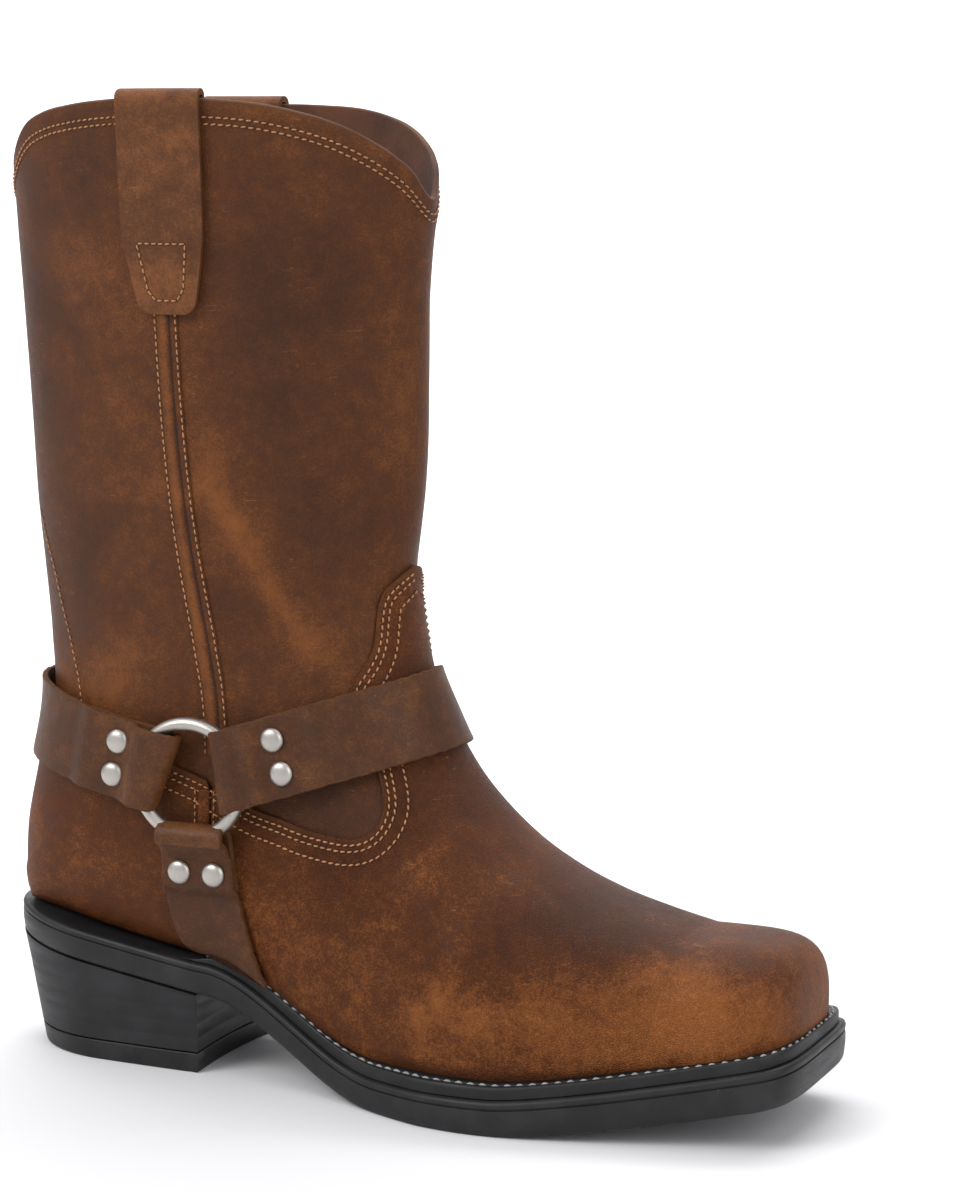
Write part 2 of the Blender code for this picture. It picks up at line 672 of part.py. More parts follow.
class Harness:
    """One side's ring, and the flat place on the upper that it lies on."""

    def __init__(self, guide, side, word):
        self.guide = guide
        self.side = side
        self.word = word
        x = float(along(RING_ALONG))
        z = INSTEP_HEIGHT * RING_RISE
        point, normal = guide.meet((x, 0, z), (0, side, 0))
        radius = RING_OUTER / 2
        turns = np.linspace(0, 2 * math.pi, 16, endpoint=False)
        samples = [
            guide.meet((x + radius * math.cos(t), 0, z + radius * math.sin(t)), (0, side, 0)) for t in turns
        ]
        normal = normal + sum(sample[1] for sample in samples) / len(samples)
        self.normal = normal / np.linalg.norm(normal)
        lift = max(float((sample[0] - point) @ self.normal) for sample in samples)
        self.foot = point + self.normal * max(lift, 0.0)
        self.forward = np.array([1.0, 0, 0]) - self.normal * self.normal[0]
        self.forward /= np.linalg.norm(self.forward)
        self.upward = np.cross(self.normal, self.forward) * -side
        if self.upward[2] < 0:
            self.upward = -self.upward
        self.centre = self.foot + self.normal * (STRAP_THICKNESS + GAP + RING_WIRE / 2)

    def on_plane(self, run, across, slope, heading):
        """Point of the ring's plane a run away from its middle, in a strap's direction."""
        angle = math.radians(slope)
        out = self.forward * math.cos(angle) * heading + self.upward * math.sin(angle)
        over = self.upward * math.cos(angle) - self.forward * math.sin(angle) * heading
        return self.foot + out * run + over * across


RING_RADIUS = (RING_OUTER - RING_WIRE) / 2
LOOP_HEIGHT = 2 * STRAP_THICKNESS + RING_WIRE + 2 * GAP
# Thickness of a strap's folded end. Lengths: from the fold, then from the ring's middle, as shares
# of RING_OUTER; floor and roof as shares of LOOP_HEIGHT.
FOLD_TURN = np.array([
    # run   floor  roof
    (0.000, 0.33, 0.70),
    (0.035, 0.06, 0.95),
    (0.090, 0.00, 1.00),
])
BEHIND_RING = np.array([
    # run   floor  roof
    (0.450, 0.00, 1.00),
    (0.512, 0.00, 0.80),
    (0.556, 0.00, 0.54),
    (0.610, 0.00, 0.47),
    (0.840, 0.00, 0.46),
    (0.910, 0.00, 0.24),
])
FRONT_FOLD = 0.0105       # from the ring's middle to the fold of each strap
BACK_FOLD = 0.0082
DOWN_FOLD = 0.0150
FRONT_SLANT = 0.16        # how far each fold leans from square
BACK_SLANT = -0.18
FRONT_RIVETS = 0.0325     # from the ring's middle to each pair of rivets
BACK_RIVETS = 0.0292
DOWN_RIVETS = 0.0328
SLANT_ENDS = 0.0120       # from a fold to where its slant has faded
FLAT_UNTIL = 0.0260       # straps lie in the ring's plane up to this run from its middle,
FOLLOWS_FROM = 0.0480     # and follow the boot from this one on
DOWN_SETTLES = 0.0220     # last stretch of the down strap, where its end levels with the welt
TRACK_TURN = 118          # degrees each way in which a strap's way round the boot is measured
TRACK_SPACE = 0.030       # from the ring to the middle that they are measured from


def folded_end(fold):
    """Runs from the ring's middle, floors and roofs of a strap's folded end."""
    turn = FOLD_TURN * [RING_OUTER, LOOP_HEIGHT, LOOP_HEIGHT] + [fold, 0, 0]
    behind = BEHIND_RING * [RING_OUTER, LOOP_HEIGHT, LOOP_HEIGHT]
    return np.concatenate([turn, behind])


def strap_roof(fold, run):
    table = folded_end(fold)
    return float(np.interp(run, table[:, 0], table[:, 2]))


def strap_cross(base, normal, floor, roof):
    lower = [b + n * floor for b, n in zip(base, normal)]
    upper = [b + n * roof for b, n in zip(base, normal)]
    return lower, upper


class WrapStrap:
    """A strap from ring to ring: round the instep where heading is 1, round the heel where it is -1."""

    def __init__(self, pair, heading, slope, fold, slant):
        self.pair = pair
        self.guide = pair[0].guide
        self.heading = heading
        self.slope = slope
        self.fold = fold
        self.slant = slant
        angle = math.radians(slope)
        self.out = np.array([math.cos(angle) * heading, 0, math.sin(angle)])
        self.over = np.array([-math.sin(angle) * heading, 0, math.cos(angle)])
        ring = np.array([float(along(RING_ALONG)), 0, INSTEP_HEIGHT * RING_RISE])
        self.middle = ring + self.out * TRACK_SPACE
        self.sweep = np.radians(np.linspace(-TRACK_TURN, TRACK_TURN, 4 * TRACK_TURN + 1))
        track = np.array([self.guide.meet(self.middle, self.heading_at(t))[0] for t in self.sweep])
        self.steps = np.concatenate([[0], np.cumsum(np.linalg.norm(np.diff(track, axis=0), axis=1))])
        near = [int(np.linalg.norm(track - harness.foot, axis=1).argmin()) for harness in pair]
        self.start = self.steps[near[0]]
        self.total = self.steps[near[1]] - self.start

    def heading_at(self, turn):
        return self.out * math.cos(turn) + np.array([0, math.sin(turn), 0])

    def surface(self, run, across):
        """Underside of the strap and its normal, a run from the lateral ring's middle."""
        lateral = run < self.total / 2
        harness = self.pair[0] if lateral else self.pair[1]
        local = run if lateral else self.total - run
        shear = self.slant * max(1 - (local - self.fold) / SLANT_ENDS, 0.0) * across
        local += shear
        turn = float(np.interp(self.start + run + (shear if lateral else -shear), self.steps, self.sweep))
        flat = harness.on_plane(local, across, self.slope, self.heading)
        point, up = self.guide.meet(self.middle + self.over * across, self.heading_at(turn))
        blend = float(ease((local - FLAT_UNTIL) / (FOLLOWS_FROM - FLAT_UNTIL)))
        normal = harness.normal * (1 - blend) + up * blend
        return flat * (1 - blend) + point * blend, normal / np.linalg.norm(normal)

    def make(self, name, parts, look):
        end = folded_end(self.fold)
        plain = np.linspace(end[-1, 0], self.total - end[-1, 0], 15)[1:-1]
        runs = [(run, floor, roof) for run, floor, roof in end]
        runs += [(run, 0.0, STRAP_THICKNESS) for run in plain]
        runs += [(self.total - run, floor, roof) for run, floor, roof in end[::-1]]
        stations = []
        for run, floor, roof in runs:
            places = [self.surface(run, share * STRAP_WIDTH) for share in (-0.5, 0.0, 0.5)]
            stations.append(strap_cross([p[0] for p in places], [p[1] for p in places], floor, roof))
        strap = band(name, stations, parts, look)
        for harness in self.pair:
            boolean(strap, harness.tunnel)

    def rivet_place(self, number, run, across):
        return self.surface(run if number == 0 else self.total - run, across)


class DownStrap:
    """The strap from a ring down to the welt."""

    def __init__(self, harness):
        self.harness = harness
        self.x = float(along(RING_ALONG))
        self.z = INSTEP_HEIGHT * RING_RISE
        self.line = np.array(ledge_line())
        low = float(np.interp(self.x + 0.012, self.line[:, 0], self.line[:, 1]))
        self.end = (self.z - low) / math.cos(math.radians(DOWN_LEAN)) - DOWN_CLEAR

    def surface(self, run, share):
        lean = math.radians(DOWN_LEAN)
        reach = (run - DOWN_FOLD) / (self.end - DOWN_FOLD)
        width = DOWN_TOP_WIDTH + (DOWN_END_WIDTH - DOWN_TOP_WIDTH) * reach
        bend = DOWN_BEND * max(run - DOWN_BEND_START, 0.0) ** 2
        x = self.x + run * math.sin(lean) + bend + share * width
        z = self.z - run * math.cos(lean)
        low = float(np.interp(x, self.line[:, 0], self.line[:, 1])) + DOWN_CLEAR
        settle = float(ease(1 - (self.end - run) / DOWN_SETTLES))
        z += (low - (self.z - self.end * math.cos(lean))) * settle
        harness = self.harness
        point, up = harness.guide.meet((x, 0, z), (0, harness.side, 0))
        up = up * [1, 1, 1 - settle]
        point = point + up * DOWN_CLEAR / 2 * settle
        flat = harness.foot + harness.forward * (x - self.x) + harness.upward * (z - self.z)
        blend = float(ease((run - FLAT_UNTIL) / (FOLLOWS_FROM - FLAT_UNTIL)))
        normal = harness.normal * (1 - blend) + up * blend
        return flat * (1 - blend) + point * blend, normal / np.linalg.norm(normal)

    def make(self, name, parts, look):
        runs = [(run, floor, roof) for run, floor, roof in folded_end(DOWN_FOLD)]
        runs += [(run, 0.0, STRAP_THICKNESS) for run in np.linspace(runs[-1][0], self.end, 6)[1:]]
        stations = []
        for run, floor, roof in runs:
            places = [self.surface(run, share) for share in (-0.5, -0.25, 0.0, 0.25, 0.5)]
            stations.append(strap_cross([p[0] for p in places], [p[1] for p in places], floor, roof))
        strap = band(name, stations, parts, look)
        boolean(strap, self.harness.tunnel)


def torus(name, centre, normal, wire_radius, collection, look=None, segments=24, sides=6):
    bpy.ops.mesh.primitive_torus_add(
        major_radius=RING_RADIUS, minor_radius=wire_radius, major_segments=segments, minor_segments=sides,
        location=tuple(centre), rotation=Vector(normal).to_track_quat("Z", "Y").to_euler(),
    )
    made = bpy.context.object
    made.name = name
    for other in list(made.users_collection):
        other.objects.unlink(made)
    collection.objects.link(made)
    made.data.shade_smooth()
    if look:
        made.data.materials.append(look)
    return made


def rivet(name, point, normal, parts, look):
    """A domed cap, turned from its profile, on a strap."""
    radius = RIVET_WIDTH / 2
    profile = [
        (0.0, RIVET_HEIGHT), (radius * 0.62, RIVET_HEIGHT * 0.82), (radius, RIVET_HEIGHT * 0.22),
        (radius * 0.97, 0.0), (0.0, 0.0),
    ]
    mesh = bpy.data.meshes.new(name)
    mesh.from_pydata([(x, 0, z) for x, z in profile], [(k, k + 1) for k in range(len(profile) - 1)], [])
    mesh.materials.append(look)
    made = bpy.data.objects.new(name, mesh)
    parts.objects.link(made)
    turn = made.modifiers.new("turn", "SCREW")
    turn.steps = 10
    turn.render_steps = 10
    turn.use_merge_vertices = True
    turn.merge_threshold = 0.00001
    turn.use_smooth_shade = True
    made.location = Vector(point)
    made.rotation_mode = "QUATERNION"
    made.rotation_quaternion = Vector(normal).to_track_quat("Z", "Y")
    return made


def seam_strip(name, guide, side, parts, look):
    """Raised strip down the side seam, from under the pull strap to under the ring."""
    top = SHAFT_HEIGHT - PULL_LENGTH - GAP
    table = SEAM_LINE
    low = INSTEP_HEIGHT * SEAM_FOOT_RISE
    stations = []
    for z in np.linspace(low, top, 14):
        above = (z - INSTEP_HEIGHT) / (SHAFT_HEIGHT - INSTEP_HEIGHT)
        rise = 1 + above if above > 0 else z / INSTEP_HEIGHT
        x = float(along(smooth(table[:, 0], table[:, 1], rise)))
        if side > 0:
            x -= MEDIAL_PULL_BACK * float(ease((z - low) / (top - low)))
        base = []
        normal = []
        for share in (-0.5, 0.0, 0.5):
            point, up = guide.meet((x + share * SEAM_WIDTH, 0, z), (0, side, 0))
            base.append(point + up * GAP)
            normal.append(up)
        lower, upper = strap_cross(base, normal, 0.0, SEAM_THICKNESS)
        upper[0] = upper[0] * (1 - SEAM_SLOPING) + upper[2] * SEAM_SLOPING
        upper[2] = upper[2] * (1 - SEAM_SLOPING) + upper[0] * SEAM_SLOPING
        stations.append((lower, upper))
    return band(name, stations, parts, look)


def pull_strap(name, guide, side, parts, look):
    """A strap folded over the collar, with one leg outside and one inside."""
    shift = MEDIAL_PULL_BACK if side > 0 else 0.0
    x_top = float(along(PULL_ALONG)) - shift
    x_low = float(along(PULL_TIP_ALONG)) - shift
    clear = 2 * GAP
    stations = []
    outside = [(PULL_LENGTH * depth, spread) for depth, spread in PULL_OUTLINE]
    edge = SHAFT_HEIGHT

    def cross(depth, spread, inner):
        width = PULL_TIP_WIDTH + (PULL_WIDTH - PULL_TIP_WIDTH) * spread
        z = edge - depth
        x = x_top + (x_low - x_top) * depth / PULL_LENGTH
        lower = []
        upper = []
        for share in (-0.5, 0.0, 0.5):
            point, up = guide.meet((x + share * width, 0, min(z, edge - PULL_BEND)), (0, side, 0))
            point = np.array([point[0], point[1], z])
            up = np.array([up[0], up[1], 0.0])
            up /= np.linalg.norm(up)
            if inner:
                lower.append(point - up * (WALL + clear))
                upper.append(point - up * (WALL + clear + PULL_THICKNESS))
            else:
                lower.append(point + up * clear)
                upper.append(point + up * (clear + PULL_THICKNESS))
        return lower, upper

    for depth, spread in outside:
        stations.append(cross(depth, spread, False))
    leg_out = cross(0.0, 1.0, False)
    leg_in = cross(0.0, 1.0, True)
    for turn in np.radians((0, 45, 90, 135, 180)):
        lower = []
        upper = []
        for k in range(3):
            middle = (leg_out[0][k] + leg_in[0][k]) / 2
            half = (leg_out[0][k] - leg_in[0][k]) / 2
            thick = (leg_out[1][k] - leg_in[1][k]) / 2
            lift = np.array([0, 0, math.sin(turn)])
            lower.append(middle + half * math.cos(turn) + lift * PULL_RISE)
            upper.append(middle + thick * math.cos(turn) + lift * (PULL_RISE + PULL_THICKNESS))
        stations.append((lower, upper))
    for depth, spread in reversed(outside[2:]):
        stations.append(cross(depth, spread, True))
    return band(name, stations, parts, look)


def make_harness(parts, cutters, guide, strap_guide, strap_look, metal, seam_look):
    pair = []
    for word, side in (("lateral", -1.0), ("medial", 1.0)):
        harness = Harness(strap_guide, side, word)
        torus("ring_" + word, harness.centre, harness.normal, RING_WIRE / 2, parts, metal)
        clearance = RING_WIRE / 2 + 1.5 * GAP
        tunnel = torus("tunnel_" + word, harness.centre, harness.normal, clearance, cutters)
        harness.tunnel = as_cutter(tunnel)
        pair.append(harness)
    front = WrapStrap(pair, 1, FRONT_SLOPE, FRONT_FOLD, FRONT_SLANT)
    back = WrapStrap(pair, -1, BACK_SLOPE, BACK_FOLD, BACK_SLANT)
    front.make("strap_front", parts, strap_look)
    back.make("strap_back", parts, strap_look)
    for number, harness in enumerate(pair):
        down = DownStrap(harness)
        down.make("strap_down_" + harness.word, parts, strap_look)
        for count, across in enumerate((RIVET_SPACING / 2, -RIVET_SPACING / 2)):
            spots = (
                ("front", front.rivet_place(number, FRONT_RIVETS, across), FRONT_FOLD, FRONT_RIVETS),
                ("back", back.rivet_place(number, BACK_RIVETS, across), BACK_FOLD, BACK_RIVETS),
                ("down", down.surface(DOWN_RIVETS, across / DOWN_TOP_WIDTH), DOWN_FOLD, DOWN_RIVETS),
            )
            for place, (point, normal), fold, run in spots:
                level = strap_roof(fold, run) + 2 * GAP
                name = f"rivet_{place}_{harness.word}_{count + 1}"
                rivet(name, point + normal * level, normal, parts, metal)
        seam_strip("side_seam_" + harness.word, guide, harness.side, parts, seam_look)
        pull_strap("pull_strap_" + harness.word, guide, harness.side, parts, strap_look)


def build():
    remove_everything()
    parts = new_collection("harness_boot")
    cutters = new_collection("cutters")
    shaft_leather = material("shaft_leather", (0.145, 0.060, 0.028), 0.62)
    vamp_leather = material("vamp_leather", (0.220, 0.092, 0.036), 0.66)
    strap_leather = material("strap_leather", (0.100, 0.048, 0.028), 0.55)
    rubber = material("sole_rubber", (0.012, 0.012, 0.013), 0.45)
    stacked = material("heel_stack", (0.014, 0.014, 0.015), 0.40)
    welt_look = material("welt_leather", (0.012, 0.011, 0.011), 0.50)
    lining = material("insole_leather", (0.300, 0.180, 0.095), 0.75)
    nickel = material("nickel", (0.620, 0.590, 0.550), 0.32, 1.0)
    form = Form(1)
    guide = Form(FINE)
    strap_guide = Form(FINE, OVERLAY + 3.5 * GAP)
    make_upper(parts, cutters, form, shaft_leather)
    make_outsole(parts, rubber)
    make_heel(parts, stacked, rubber)
    make_welt(parts, welt_look)
    make_insole(parts, lining)
    make_vamp_and_counter(parts, cutters, form, vamp_leather)
    make_harness(parts, cutters, guide, strap_guide, strap_leather, nickel, shaft_leather)


build()
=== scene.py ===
# %% [markdown]
# # Dressing a harness boot
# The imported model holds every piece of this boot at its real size, but with coarse faces and plain
# colours. This lesson builds the surface that an eye sees: oiled leather with grain and pull-up
# marks, raw strap edges, thread, satin nickel and a black stitched welt. Each fine piece takes the
# place of one coarse piece and is worked out from the same sizes, so that nothing needs fitting.

# %% Load the frame
import math

import bpy
import numpy as np
from mathutils import Matrix, Vector
from mathutils.bvhtree import BVHTree


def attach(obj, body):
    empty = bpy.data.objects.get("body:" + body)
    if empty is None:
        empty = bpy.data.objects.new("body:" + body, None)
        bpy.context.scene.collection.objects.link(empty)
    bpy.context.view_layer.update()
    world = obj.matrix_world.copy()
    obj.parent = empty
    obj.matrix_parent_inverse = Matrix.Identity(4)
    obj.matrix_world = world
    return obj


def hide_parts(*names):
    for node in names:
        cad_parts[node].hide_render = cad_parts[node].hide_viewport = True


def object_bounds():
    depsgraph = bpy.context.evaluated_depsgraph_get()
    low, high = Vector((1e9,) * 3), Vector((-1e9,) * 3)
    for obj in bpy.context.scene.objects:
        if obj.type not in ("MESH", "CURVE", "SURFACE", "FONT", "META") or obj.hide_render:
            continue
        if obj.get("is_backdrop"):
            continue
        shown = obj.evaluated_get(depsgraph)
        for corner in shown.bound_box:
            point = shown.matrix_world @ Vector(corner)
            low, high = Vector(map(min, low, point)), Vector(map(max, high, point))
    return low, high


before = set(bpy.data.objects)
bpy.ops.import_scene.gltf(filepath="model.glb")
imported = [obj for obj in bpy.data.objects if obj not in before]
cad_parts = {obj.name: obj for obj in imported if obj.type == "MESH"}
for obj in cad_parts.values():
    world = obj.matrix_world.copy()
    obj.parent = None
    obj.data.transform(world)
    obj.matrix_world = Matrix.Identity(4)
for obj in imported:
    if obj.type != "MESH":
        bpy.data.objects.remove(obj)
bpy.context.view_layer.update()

# %% [markdown]
# ## The sizes of the last
# A boot is built over a last, a block with the shape of a foot. Here the last is a table: each row
# is one section, and a few lengths turn its shares into metres. The same numbers made the packed
# model, so a surface that is worked out from them with more points lies exactly on it. Measuring
# the coarse mesh instead would copy its flat faces.

# %% Driving sizes, metres
LENGTH = 0.306
BALL_WIDTH = 0.110
HEEL_WIDTH = 0.069
HEEL_DEPTH = 0.086
HEEL_HEIGHT = 0.0288
HEEL_PITCH = 0.0125
HEEL_TAPER = 0.0090
HEEL_SIDE_TAPER = 0.0015
BREAST_HOLLOW = 0.0020
TOE_SPRING = 0.0160
CAP_THICKNESS = 0.0070
OUTSOLE_WAIST = 0.0112
OUTSOLE_TOE = 0.0136
WELT_THICKNESS = 0.0042
WELT_INSET = 0.0016
WELT_TIP = 0.0004
INSOLE_THICKNESS = 0.0030
INSTEP_HEIGHT = 0.146
SHAFT_HEIGHT = 0.341
COLLAR_DIP = 0.038
SHAFT_WIDTH = 0.098
WALL = 0.0022
OVERLAY = 0.0014
STRAP_WIDTH = 0.0285
STRAP_THICKNESS = 0.0022
SEAM_WIDTH = 0.0090
SEAM_THICKNESS = 0.0012
PULL_WIDTH = 0.0306
PULL_TIP_WIDTH = 0.0130
PULL_LENGTH = 0.0730
PULL_THICKNESS = 0.0022
PULL_ALONG = 0.263
PULL_TIP_ALONG = 0.267
PULL_RISE = 0.0008
PULL_BEND = 0.0040
RING_OUTER = 0.0445
RING_WIRE = 0.0048
RIVET_WIDTH = 0.0087
RIVET_HEIGHT = 0.0018
RIVET_SPACING = 0.0120
GAP = 0.0003
ORIGIN_FROM_BACK = (HEEL_TAPER + HEEL_DEPTH) / 2
HEEL_ROUND_END = 0.132
TOE_ROUND_START = 0.940
HEEL_ROUNDNESS = 2.05
TOE_ROUNDNESS = 4.2
WELT_START = 0.262
WELT_FULL = 0.330
BALL_FLAT_START = 0.540
BALL_FLAT_END = 0.680
LAST_TILTED = 24
LAST_CURVED = 22
TOE_TIP = 0.983
TOE_SIDE_ROUNDNESS = 5.5
TOE_PLAN_ROUNDNESS = 3.3
SIDE_SEAM = 0.305

# %% Sections of the sole and the upper
SOLE_PLAN = np.array([
    # along  lateral  medial
    (0.000, 0.450, 0.450), (0.100, 0.478, 0.474), (0.196, 0.497, 0.486), (0.281, 0.504, 0.490),
    (0.360, 0.480, 0.446), (0.425, 0.463, 0.394), (0.490, 0.477, 0.365), (0.556, 0.515, 0.376),
    (0.605, 0.547, 0.405), (0.654, 0.559, 0.432), (0.706, 0.548, 0.444), (0.768, 0.514, 0.433),
    (0.833, 0.471, 0.405), (0.899, 0.427, 0.368), (0.948, 0.395, 0.345), (1.000, 0.364, 0.327),
])
UPPER_SECTIONS = np.array([
    # back   rise   front  rise   lateral medial widest low  high
    (0.850, 0.000, 0.850, 0.417, 0.372, 0.335, 0.36, 6.5, 2.80),
    (0.795, 0.000, 0.795, 0.446, 0.412, 0.362, 0.33, 6.5, 2.60),
    (0.740, 0.000, 0.738, 0.485, 0.452, 0.380, 0.30, 6.5, 2.40),
    (0.684, 0.000, 0.680, 0.546, 0.478, 0.382, 0.27, 6.5, 2.20),
    (0.632, 0.000, 0.632, 0.619, 0.482, 0.368, 0.25, 6.5, 2.08),
    (0.578, 0.000, 0.588, 0.712, 0.455, 0.345, 0.26, 6.5, 2.00),
    (0.520, 0.000, 0.557, 0.803, 0.412, 0.328, 0.28, 6.2, 1.98),
    (0.455, 0.000, 0.534, 0.902, 0.372, 0.320, 0.32, 5.8, 1.96),
    (0.380, 0.000, 0.514, 1.000, 0.342, 0.316, 0.36, 5.4, 1.94),
    (0.300, 0.000, 0.506, 1.072, 0.330, 0.316, 0.40, 5.0, 1.92),
    (0.215, 0.000, 0.502, 1.132, 0.328, 0.318, 0.43, 4.5, 1.90),
    (0.135, 0.000, 0.502, 1.186, 0.330, 0.322, 0.45, 3.8, 1.90),
    (0.066, 0.000, 0.506, 1.232, 0.334, 0.328, 0.46, 3.0, 1.90),
    (0.020, 0.362, 0.510, 1.276, 0.338, 0.334, 0.46, 2.6, 1.90),
    (0.015, 0.435, 0.513, 1.320, 0.343, 0.340, 0.46, 2.4, 1.90),
    (0.017, 0.545, 0.515, 1.366, 0.348, 0.346, 0.46, 2.3, 1.90),
    (0.030, 0.685, 0.516, 1.412, 0.355, 0.353, 0.46, 2.2, 1.90),
    (0.046, 0.855, 0.516, 1.468, 0.364, 0.363, 0.46, 2.15, 1.90),
    (0.042, 1.020, 0.516, 1.530, 0.376, 0.376, 0.47, 2.1, 1.90),
    (0.034, 1.150, 0.516, 1.590, 0.390, 0.390, 0.48, 2.1, 1.88),
    (0.026, 1.267, 0.516, 1.655, 0.405, 0.405, 0.49, 2.1, 1.86),
    (0.021, 1.390, 0.518, 1.712, 0.420, 0.420, 0.50, 2.1, 1.85),
    (0.016, 1.518, 0.520, 1.750, 0.434, 0.434, 0.50, 2.1, 1.84),
    (0.011, 1.640, 0.522, 1.778, 0.452, 0.452, 0.50, 2.1, 1.83),
    (0.006, 1.752, 0.524, 1.795, 0.470, 0.470, 0.50, 2.1, 1.82),
    (-0.005, 2.000, 0.529, 2.000, 0.500, 0.500, 0.50, 2.1, 1.80),
])
COLLAR_EDGE = np.array([
    # along  drop
    (-0.020, 0.800), (0.005, 0.710), (0.030, 0.470), (0.060, 0.240), (0.095, 0.125), (0.140, 0.060),
    (0.200, 0.015), (0.265, 0.000), (0.315, 0.012), (0.375, 0.050), (0.415, 0.118), (0.450, 0.210),
    (0.480, 0.345), (0.503, 0.500), (0.517, 0.660), (0.526, 0.900), (0.533, 1.020), (0.545, 1.060),
])
SEAM_LINE = np.array([
    # rise  along
    (0.72, 0.3120), (0.80, 0.3110), (0.90, 0.3080), (0.98, 0.3030), (1.05, 0.2965), (1.12, 0.2890),
    (1.19, 0.2815), (1.26, 0.2755), (1.34, 0.2705), (1.41, 0.2670), (1.48, 0.2645), (1.64, 0.2615),
])
COUNTER_EDGE = ((-0.10, 0.845), (0.15, 0.808), (0.255, 0.761), (0.300, 0.730))
VAMP_EDGE = (
    (0.300, 0.730), (0.333, 0.695), (0.365, 0.667), (0.396, 0.651), (0.423, 0.635), (0.450, 0.625),
    (0.475, 0.620), (0.495, 0.626), (0.508, 0.644), (0.515, 0.672), (0.516, 0.703), (0.511, 0.740),
    (0.482, 0.870), (0.465, 0.955), (0.466, 0.970), (0.478, 1.020), (0.483, 1.055), (0.484, 1.124),
    (0.485, 1.160), (0.488, 1.183), (0.501, 1.221), (0.508, 1.242), (0.560, 1.255),
)

# %% [markdown]
# ## From tables to surfaces
# Every section is a closed loop whose corners are more or less square, a superellipse. A smooth
# curve through the table gives a section at any row, also between two of them. Equal steps in the
# loop's angle would crowd the points at its corners, so each loop is cut into equal lengths.

# %% Curves through tables
def along(share):
    return np.asarray(share) * LENGTH - ORIGIN_FROM_BACK


def from_back(x):
    return x + ORIGIN_FROM_BACK


def lengths(points):
    """Length along a line of points, up to each of them."""
    return np.concatenate([[0.0], np.cumsum(np.linalg.norm(np.diff(points, axis=0), axis=1))])


def unit(vector):
    return vector / np.linalg.norm(vector)


def full_turn(count):
    """The angles of a whole turn, in equal steps."""
    return np.linspace(0, 2 * math.pi, count, endpoint=False)


def smooth(stations, values, at):
    slopes = np.gradient(values, stations)
    at = np.clip(at, stations[0], stations[-1])
    index = np.clip(np.searchsorted(stations, at) - 1, 0, len(stations) - 2)
    span = stations[index + 1] - stations[index]
    t = (at - stations[index]) / span
    start = (2 * t**3 - 3 * t**2 + 1) * values[index] + (t**3 - 2 * t**2 + t) * span * slopes[index]
    end = (3 * t**2 - 2 * t**3) * values[index + 1] + (t**3 - t**2) * span * slopes[index + 1]
    return start + end


def ease(t):
    t = np.clip(t, 0.0, 1.0)
    return t * t * (3 - 2 * t)


def rounding(t, power):
    return (1 - np.clip(t, 0.0, 1.0) ** power) ** (1 / power)


def height(rise):
    above = np.maximum(rise - 1.0, 0.0)
    return INSTEP_HEIGHT * np.minimum(rise, 1.0) + (SHAFT_HEIGHT - INSTEP_HEIGHT) * above


# %% The sole's outline and levels
def sole_half_widths(share):
    blend = ease((share * LENGTH - HEEL_DEPTH) / (0.605 * LENGTH - HEEL_DEPTH))
    width = HEEL_WIDTH + (BALL_WIDTH - HEEL_WIDTH) * blend
    width = width * rounding((HEEL_ROUND_END - share) / HEEL_ROUND_END, HEEL_ROUNDNESS)
    width = width * rounding((share - TOE_ROUND_START) / (1 - TOE_ROUND_START), TOE_ROUNDNESS)
    table = SOLE_PLAN
    return width * smooth(table[:, 0], table[:, 1], share), width * smooth(table[:, 0], table[:, 2], share)


def underside(x):
    back = from_back(np.asarray(x, float))
    flat_start = BALL_FLAT_START * LENGTH
    flat_end = BALL_FLAT_END * LENGTH
    arch = np.clip((flat_start - back) / (flat_start - HEEL_DEPTH), 0.0, 1.0) ** 1.15
    heel = HEEL_HEIGHT * ease(arch) + HEEL_PITCH * np.clip(1 - back / HEEL_DEPTH, 0.0, None)
    toe = TOE_SPRING * np.clip((back - flat_end) / (LENGTH - flat_end), 0.0, None) ** 1.35
    return heel + toe


def outsole_top(x):
    share = ease((from_back(np.asarray(x, float)) / LENGTH - 0.45) / 0.55)
    return underside(x) + OUTSOLE_WAIST + (OUTSOLE_TOE - OUTSOLE_WAIST) * share


def welt_top(x):
    fade = ease((from_back(x) / LENGTH - WELT_START) / (WELT_FULL - WELT_START))
    return outsole_top(x) + GAP + WELT_TIP + (WELT_THICKNESS - WELT_TIP) * fade


def collar_height(x):
    return SHAFT_HEIGHT - COLLAR_DIP * smooth(COLLAR_EDGE[:, 0], COLLAR_EDGE[:, 1], from_back(x) / LENGTH)


# %% A loop of the upper
ROW_NUMBERS = np.arange(len(UPPER_SECTIONS), dtype=float)


